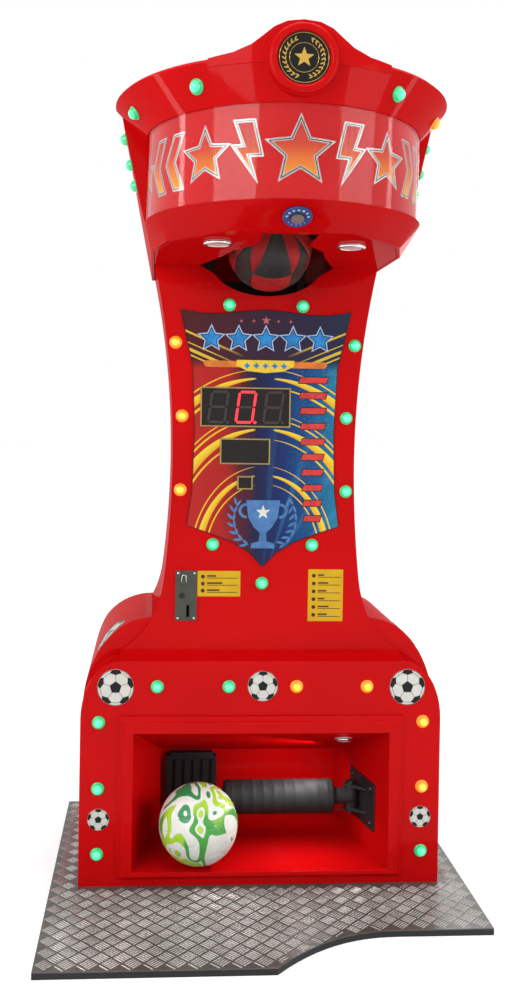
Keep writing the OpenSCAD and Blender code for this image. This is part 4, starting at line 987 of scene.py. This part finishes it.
def bag():
    """The punching bag: sewn hide over a stuffed core, swollen a little by cloth simulation."""
    pivot = Vector(joints["punch_swing"]["pos_m"])
    points = [v.co - pivot for v in nodes["punch_bag"].data.vertices]
    axis = sum(points, Vector())
    axis = Vector((0, axis.y, axis.z)).normalized()
    side = axis.cross(RIGHT).normalized()
    if side.z > 0:
        side = -side
    across, shrink, belly_share, voxel = axis.cross(side), 0.004, 0.47, 0.005
    profile = []  # the solid's (distance from the pivot, radius) pairs
    for t, r in sorted({(round(p.dot(axis), 4), round((p - axis * p.dot(axis)).length, 4)) for p in points}):
        if profile and t - profile[-1][0] < 0.0015:
            profile[-1] = (t, max(r, profile[-1][1]))
        else:
            profile.append((t, r))
    top, end = profile[0][0], profile[-1][0]
    belly = top + (end - top) * belly_share
    bm, rings = bmesh.new(), []
    for t, r in profile:
        r, core = r - shrink, pivot + axis * min(max(t, top + 0.001), end - shrink)
        rings.append([bm.verts.new(core)] if r < 0.003 else
                     [bm.verts.new(core + (side * px + across * py) * r) for px, py in disc(1, 64)])
    skin(bm, rings)
    for ring in (rings[0][::-1], rings[-1]):
        if len(ring) > 1:
            bm.faces.new(ring)
    leather(pivot, axis, side, top, belly)
    obj = link("bag_hide", bm, "bag_hide", "punch", smooth=True)
    apply_modifier(obj, "REMESH", mode="VOXEL", voxel_size=voxel)
    swell(obj, pressure=4.0, cap=0.006)
    apply_modifier(obj, "SUBSURF", levels=1)
    # The seams of the sewn panels are sunk, and the panels between them stand a little proud
    seam_depth, seam_width, crown, crown_reach = 0.0022, 0.0032, 0.0012, 0.03
    for v in obj.data.vertices:
        p = v.co - pivot
        t = p.dot(axis)
        flat = p - axis * t
        r = flat.length
        if r < 0.004:
            continue
        turn = math.atan2(flat.dot(across), flat.dot(side))
        quarter = abs((turn + math.pi / 4) % (math.pi / 2) - math.pi / 4)
        inner, outer = panel_edges(t, top, belly)
        gap = abs(quarter - inner) * r
        if t < belly:
            gap = min(gap, abs(quarter - outer) * r)
        if quarter < inner:
            gap = min(gap, abs(t - belly))
        v.co -= flat / r * (seam_depth * math.exp(-(gap / seam_width) ** 2)
                            - crown * min(gap / crown_reach, 1.0))
    shade(obj.data)
    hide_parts("punch_bag")


def fasteners():
    """Screws of the back panels and the coin plate, and black bolts of the kick bracket."""
    bm, panels, behind = bmesh.new(), surface("rear_panels"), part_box("rear_panels")[1].y
    columns, rows, radius = (-0.19, 0.19), (0.80, 0.98, 1.16, 1.34, 1.52, 1.70), 0.0045
    for px, pz in product(columns, rows):
        spot, normal, _, _ = panels.ray_cast(Vector((px, 0.7, pz)), FRONT)
        if spot and spot.y < behind - radius * 0.6 and normal.y > 0.99:
            screw(bm, seat(spot, BACK), radius)
    (low, high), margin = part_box("coin_plate"), 0.007
    for px, pz in product((low.x + margin, high.x - margin), (low.z + margin, high.z - margin)):
        screw(bm, seat((px, low.y + 0.0002, pz), FRONT), 0.0029, 0.0008)
    link("panel_screws", bm, "bright_steel", smooth=True)
    bm, bracket = bmesh.new(), surface("kick_bracket")
    for py, pz in product((0.095, 0.218), (0.145, 0.245)):
        spot, normal, _, _ = bracket.ray_cast(Vector((0.1, py, pz)), RIGHT)
        screw(bm, seat(spot, normal), 0.0075, 0.005)
    link("bracket_bolts", bm, "dark_steel", smooth=True)


def light_rims():
    """Rounded chrome rims over the flanges of the three downlights."""
    bm = bmesh.new()
    for node in ("soffit_downlights", "recess_downlight"):
        for faces in loose_parts(node):
            down = sum((n * a for n, _, a, _ in faces if n.z < -0.9), Vector()).normalized()
            points = [p for f in faces for p in f[3]]
            tip = max(p.dot(down) for p in points)
            lens = [p for p in points if p.dot(down) > tip - 0.0003]
            centre = sum(lens, Vector()) / len(lens)
            inner = max((p - centre).length for p in lens)
            outer = max((p - centre - down * (p - centre).dot(down)).length for p in points)
            profile = [(inner + 0.0002, 0.0), (inner + 0.0004, 0.0022), (inner + 0.0022, 0.0034),
                       (outer - 0.0028, 0.0030), (outer - 0.0004, 0.0014), (outer + 0.0006, -0.001),
                       (outer + 0.0006, -0.0036), (outer + 0.0001, -0.0036), (outer + 0.0001, 0.0)]
            turned(bm, profile + profile[:1], seat(centre - down * 0.002, down, BACK), 48)
    bmesh.ops.remove_doubles(bm, verts=bm.verts, dist=1e-6)
    link("downlight_rims", bm, "bright_steel", smooth=True)


def door_details():
    """Screws in the hinge leaves, and the lock's key slot in its ring."""
    bm = bmesh.new()
    for faces in loose_parts("door_hinges"):
        leaf = max((f for f in faces if f[0].dot(BACK) > 0.99), key=lambda f: f[2])[3]
        low, high = extent(leaf)
        for across, up in product((0.2, 0.65), (0.25, 0.75)):
            spot = (low.x + (high.x - low.x) * across, leaf[0].y, low.z + (high.z - low.z) * up)
            screw(bm, seat(spot, BACK), 0.0032, 0.0014)
    link("hinge_screws", bm, "bright_steel", smooth=True)
    axis = joints["lock_turn"]["pos_m"]
    place = seat((axis[0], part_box("door_lock")[1].y, axis[2]), BACK)
    bm = bmesh.new()
    prism(bm, mirrored([(0, 0.0045), (0.0008, 0.0042), (0.0012, 0.0034), (0.0012, -0.0034),
                        (0.0008, -0.0042), (0, -0.0045)]), FOOT, 0.0002, place)
    tube(bm, disc(0.0072, 40), 0.00045, place)
    link("lock_slot", bm, "black_plastic", body="lock")


def board_parts():
    """On the control board's back: corner screws, two flat chips with their leads, and a row of sockets."""
    low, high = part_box("control_board")
    back = seat((0, high.y, low.z), BACK)

    def block(bm, cx, cz, w, h, rise, chamfer):
        base = rect(cx - w / 2, cz - h / 2, cx + w / 2, cz + h / 2)
        prism(bm, base, FOOT, rise - chamfer, back)
        prism(bm, inset(base, chamfer), rise - chamfer * 1.1, rise, back)
    chips, sockets, metal = bmesh.new(), bmesh.new(), bmesh.new()
    for cx, cz, size in ((-0.055, 0.150, 0.026), (0.062, 0.165, 0.018)):
        block(chips, cx, cz, size, size, 0.0026, 0.0004)
        count, lead, width = int(size / 0.002), 0.004, 0.0009
        for k in range(count):
            along = (k - (count - 1) / 2) * 0.0018
            for edge in (size / 2, -size / 2):
                block(metal, cx + along, cz + edge, width, lead, 0.0009, 0.0002)
                block(metal, cx + edge, cz + along, lead, width, 0.0009, 0.0002)
    for k in range(4):
        cx, cz = -0.105 + k * 0.070, 0.040
        block(sockets, cx, cz, 0.042, 0.012, 0.009, 0.001)
        for n in range(7):
            block(metal, cx + (n - 3) * 0.0054, cz + 0.009, 0.0018, 0.005, 0.0015, 0.0003)
    margin = 0.008
    reach = (high.x - low.x) / 2 - margin
    for cx, cz in product((-reach, reach), (margin, high.z - low.z - margin)):
        screw(metal, back @ Matrix.Translation((cx, cz, 0)), 0.0035)
    link("board_chips", chips, "black_plastic")
    soften(link("board_sockets", sockets, "white_print"), 0.0006)
    link("board_leads", metal, "zinc_steel")


def button_marks():
    """Pale marks on the upper half of the start button's ring, and a dark joint round the button."""
    out = -Vector(joints["start_press"]["axis"]).normalized()
    points = [v.co for v in nodes["start_button_ring"].data.vertices]
    tip = max(p.dot(out) for p in points)
    low, high = extent([p for p in points if p.dot(out) > tip - 0.0003])
    place = seat((low + high) / 2, out)

    def spot(degrees):
        ring, a = 0.0245, math.radians(degrees)
        return ring * math.sin(a), ring * math.cos(a)
    marks = [star(0.0042, turn=math.radians(27 * k), centre=spot(27 * k)) for k in range(-3, 4)]
    marks += [disc(0.0014, 12, spot(180 + 24 * k)) for k in range(-2, 3)]
    relief("button_ring_marks", marks, "white_print", place)
    joint = bmesh.new()
    tube(joint, disc(0.0162, 40), 0.0009, place)
    link("button_joint", joint, "black_rubber", smooth=True)


def coin_details():
    """Bright outline on the coin plate's ridge, and a dark rim round the slot."""
    low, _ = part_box("coin_plate")
    left, foot, tall, r = low.x + 0.0175, low.z + 0.099, 0.024, 0.006
    arch = [(left + r - r * math.cos(a), foot + tall + r * math.sin(a))
            for a in (math.pi * k / 8 for k in range(9))]
    bm = bmesh.new()
    tube(bm, [(left, foot)] + arch + [(left + 2 * r, foot)], 0.0012, seat((0, low.y - 0.0002, 0), FRONT),
         steps=8, closed=False)
    link("coin_ridge_line", bm, "bright_steel", smooth=True)
    rim, edge = bmesh.new(), 0.0012
    x0, z0, w, h = low.x + 0.033, low.z + 0.011, 0.005, 0.032
    tube(rim, rect(x0 - edge, z0 - edge, x0 + w + edge, z0 + h + edge), 0.0011,
         seat((0, low.y + 0.0015, 0), FRONT), steps=8)
    link("coin_slot_rim", rim, "black_print", smooth=True)


def sleeve():
    """The rubber sleeve on the kicker's arm, with low rounded ribs."""
    low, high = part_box("kick_sleeve")
    middle, length = (low + high) / 2, high.x - low.x
    ribs, facets, valley, rise, margin = 10, 8, 0.0473, 0.00224, 0.006
    ends = [(0.030, 0.0), (0.040, 0.0), (0.0445, 0.002)]
    profile = ends + [(valley + rise * (1 - math.sqrt(abs(math.cos(math.pi * i / facets)))),
                       margin + (length - 2 * margin) * i / (ribs * facets)) for i in range(ribs * facets + 1)]
    profile += [(r, length - h) for r, h in ends[::-1]]
    bm = bmesh.new()
    turned(bm, profile + profile[:1], seat((low.x, middle.y, middle.z), RIGHT), 64)
    bmesh.ops.remove_doubles(bm, verts=bm.verts, dist=1e-6)
    made = link("kick_sleeve_rubber", bm, "black_rubber", body="kicker", smooth=True)
    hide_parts("kick_sleeve")


# ---------------------------------------------------------------- stage

def add_camera():
    """The photograph's view. It was 505 x 1000 pixels, and the camera was fitted to it."""
    photo_w, photo_h = 505, 1000
    focal_px, axis_px = 994.0, (219.5, 422.4)
    eye = Vector((-0.3069, -2.724, 1.3236))
    yaw, pitch, roll = math.radians(3.678), math.radians(-0.605), math.radians(0.925)
    data = bpy.data.cameras.new("camera")
    data.sensor_width = 36.0
    data.lens = focal_px * data.sensor_width / photo_h
    data.shift_x = (photo_w / 2 - axis_px[0]) / photo_h
    data.shift_y = (axis_px[1] - photo_h / 2) / photo_h
    level = math.radians(90)
    turn = Matrix.Rotation(-yaw, 4, "Z") @ Matrix.Rotation(level + pitch, 4, "X") @ Matrix.Rotation(roll, 4, "Z")
    scene.camera = add_object("camera", data, Matrix.Translation(eye) @ turn)


def seen_directly(tree):
    """1 for camera, glossy and transmission rays."""
    path = tree.nodes.new("ShaderNodeLightPath")
    camera, glossy, through = (Value(tree, path.outputs[f"Is {kind} Ray"])
                               for kind in ("Camera", "Glossy", "Transmission"))
    return (camera + glossy + through).lower(1.0)


def add_stage():
    """A pale world and floor, with soft lamps round the machine and a weak one in the recess."""
    world = bpy.data.worlds.new("studio")
    scene.world = world
    world.use_nodes = True
    tree = world.node_tree
    background = tree.nodes["Background"]
    feed(tree, background.inputs["Color"], (1, 1, 1))
    feed(tree, background.inputs["Strength"], seen_directly(tree).span(0, 1, 0.42, 1.0))

    bm = bmesh.new()
    bmesh.ops.create_grid(bm, x_segments=1, y_segments=1, size=30)
    f = Finish("floor", Base_Color=(0.8, 0.8, 0.8), Roughness=0.9, Emission_Color=(1, 1, 1))
    x, y, _ = f.xyz()
    far = (x * x + y * y).root().span(1.0, 5.0, 0.36, 0.68)
    f.set(Emission_Strength=seen_directly(f.tree) * far)
    add_mesh("floor", bm, "floor")

    low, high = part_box("recess_downlight")
    recess = Vector(((low.x + high.x) / 2 - 0.1, (low.y + high.y) / 2 - 0.02, low.z - 0.03))
    # Each lamp: place, what it looks at, width, height and power
    for name, place, target, width, height, power in (
            ("key", (-2.6, -2.9, 2.6), (0, 0, 1.1), 2.4, 2.4, 84),
            ("fill", (2.8, -2.3, 1.9), (0, 0, 1.0), 1.8, 2.4, 46),
            ("left_strip", (-2.9, -0.1, 2.0), (0, -0.2, 1.4), 0.28, 2.6, 20),
            ("right_strip", (2.9, -0.4, 2.0), (0, -0.2, 1.4), 0.20, 2.6, 10),
            ("top", (0.2, -0.6, 4.2), (0, 0, 1.0), 2.4, 2.0, 60),
            ("back", (0.8, 3.2, 2.6), (0, 0, 1.2), 2.0, 2.0, 50),
            ("recess_glow", recess, (-0.05, 0.2, 0), 0.2, 0.05, 0.9)):
        data = bpy.data.lights.new(name, "AREA")
        data.shape, data.size, data.size_y, data.energy = "RECTANGLE", width, height, power
        add_object(name, data, seat(place, Vector(place) - Vector(target)))


def dress_nodes():
    """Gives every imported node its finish."""
    red_paint()
    tread_metal("tread_metal", 0.3, (0.125, 0.123, 0.115), (0.08, 0.078, 0.073), 0.00004)
    # The bars take a paler copy of the plate's metal: partly wear on their tops, partly a painted highlight of
    # their raised sides.
    tread_metal("tread_bar_wear_and_highlight_metal", 0.5, (0.50, 0.495, 0.47), (0.34, 0.335, 0.31), 0.00003)
    clear_plastic()
    lights_and_lenses()
    shield_print()
    board_print(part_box("control_board")[0])
    for name, (colour, rough, settings, names, bevel) in PLAIN.items():
        plain(name, colour, rough, **settings)
        dress(names, name, bevel)
    dress("base_shell column_shell head_shell head_crest head_lip", "red_paint", 5, segments=3)
    dress("recess_liner recess_frame head_soffit", "red_paint", 2.5, segments=3)
    for names, paint, bevel in (
            ("crest_ring", "red_paint", 0), ("tread_plate", "tread_metal", 0.6),
            ("marquee_panel", "clear_plastic", 0.8), ("marquee_backing", "print_red", 0),
            ("marquee_light", "light_strip", 0), ("shield_panel", "shield_print", 0.5),
            ("control_board", "circuit_board", 1.0), ("recess_downlight soffit_downlights", "white_lens", 1.0)):
        dress(names, paint, bevel)


add_camera()
add_stage()
dress_nodes()
for make in (lamps, emblems, game_ball, tread_bars, marquee_art, shield_art, badge_art, digits, label_marks,
             bag, fasteners, light_rims, door_details, board_parts, button_marks, coin_details, sleeve):
    make()
scene.view_settings.view_transform = "Standard"
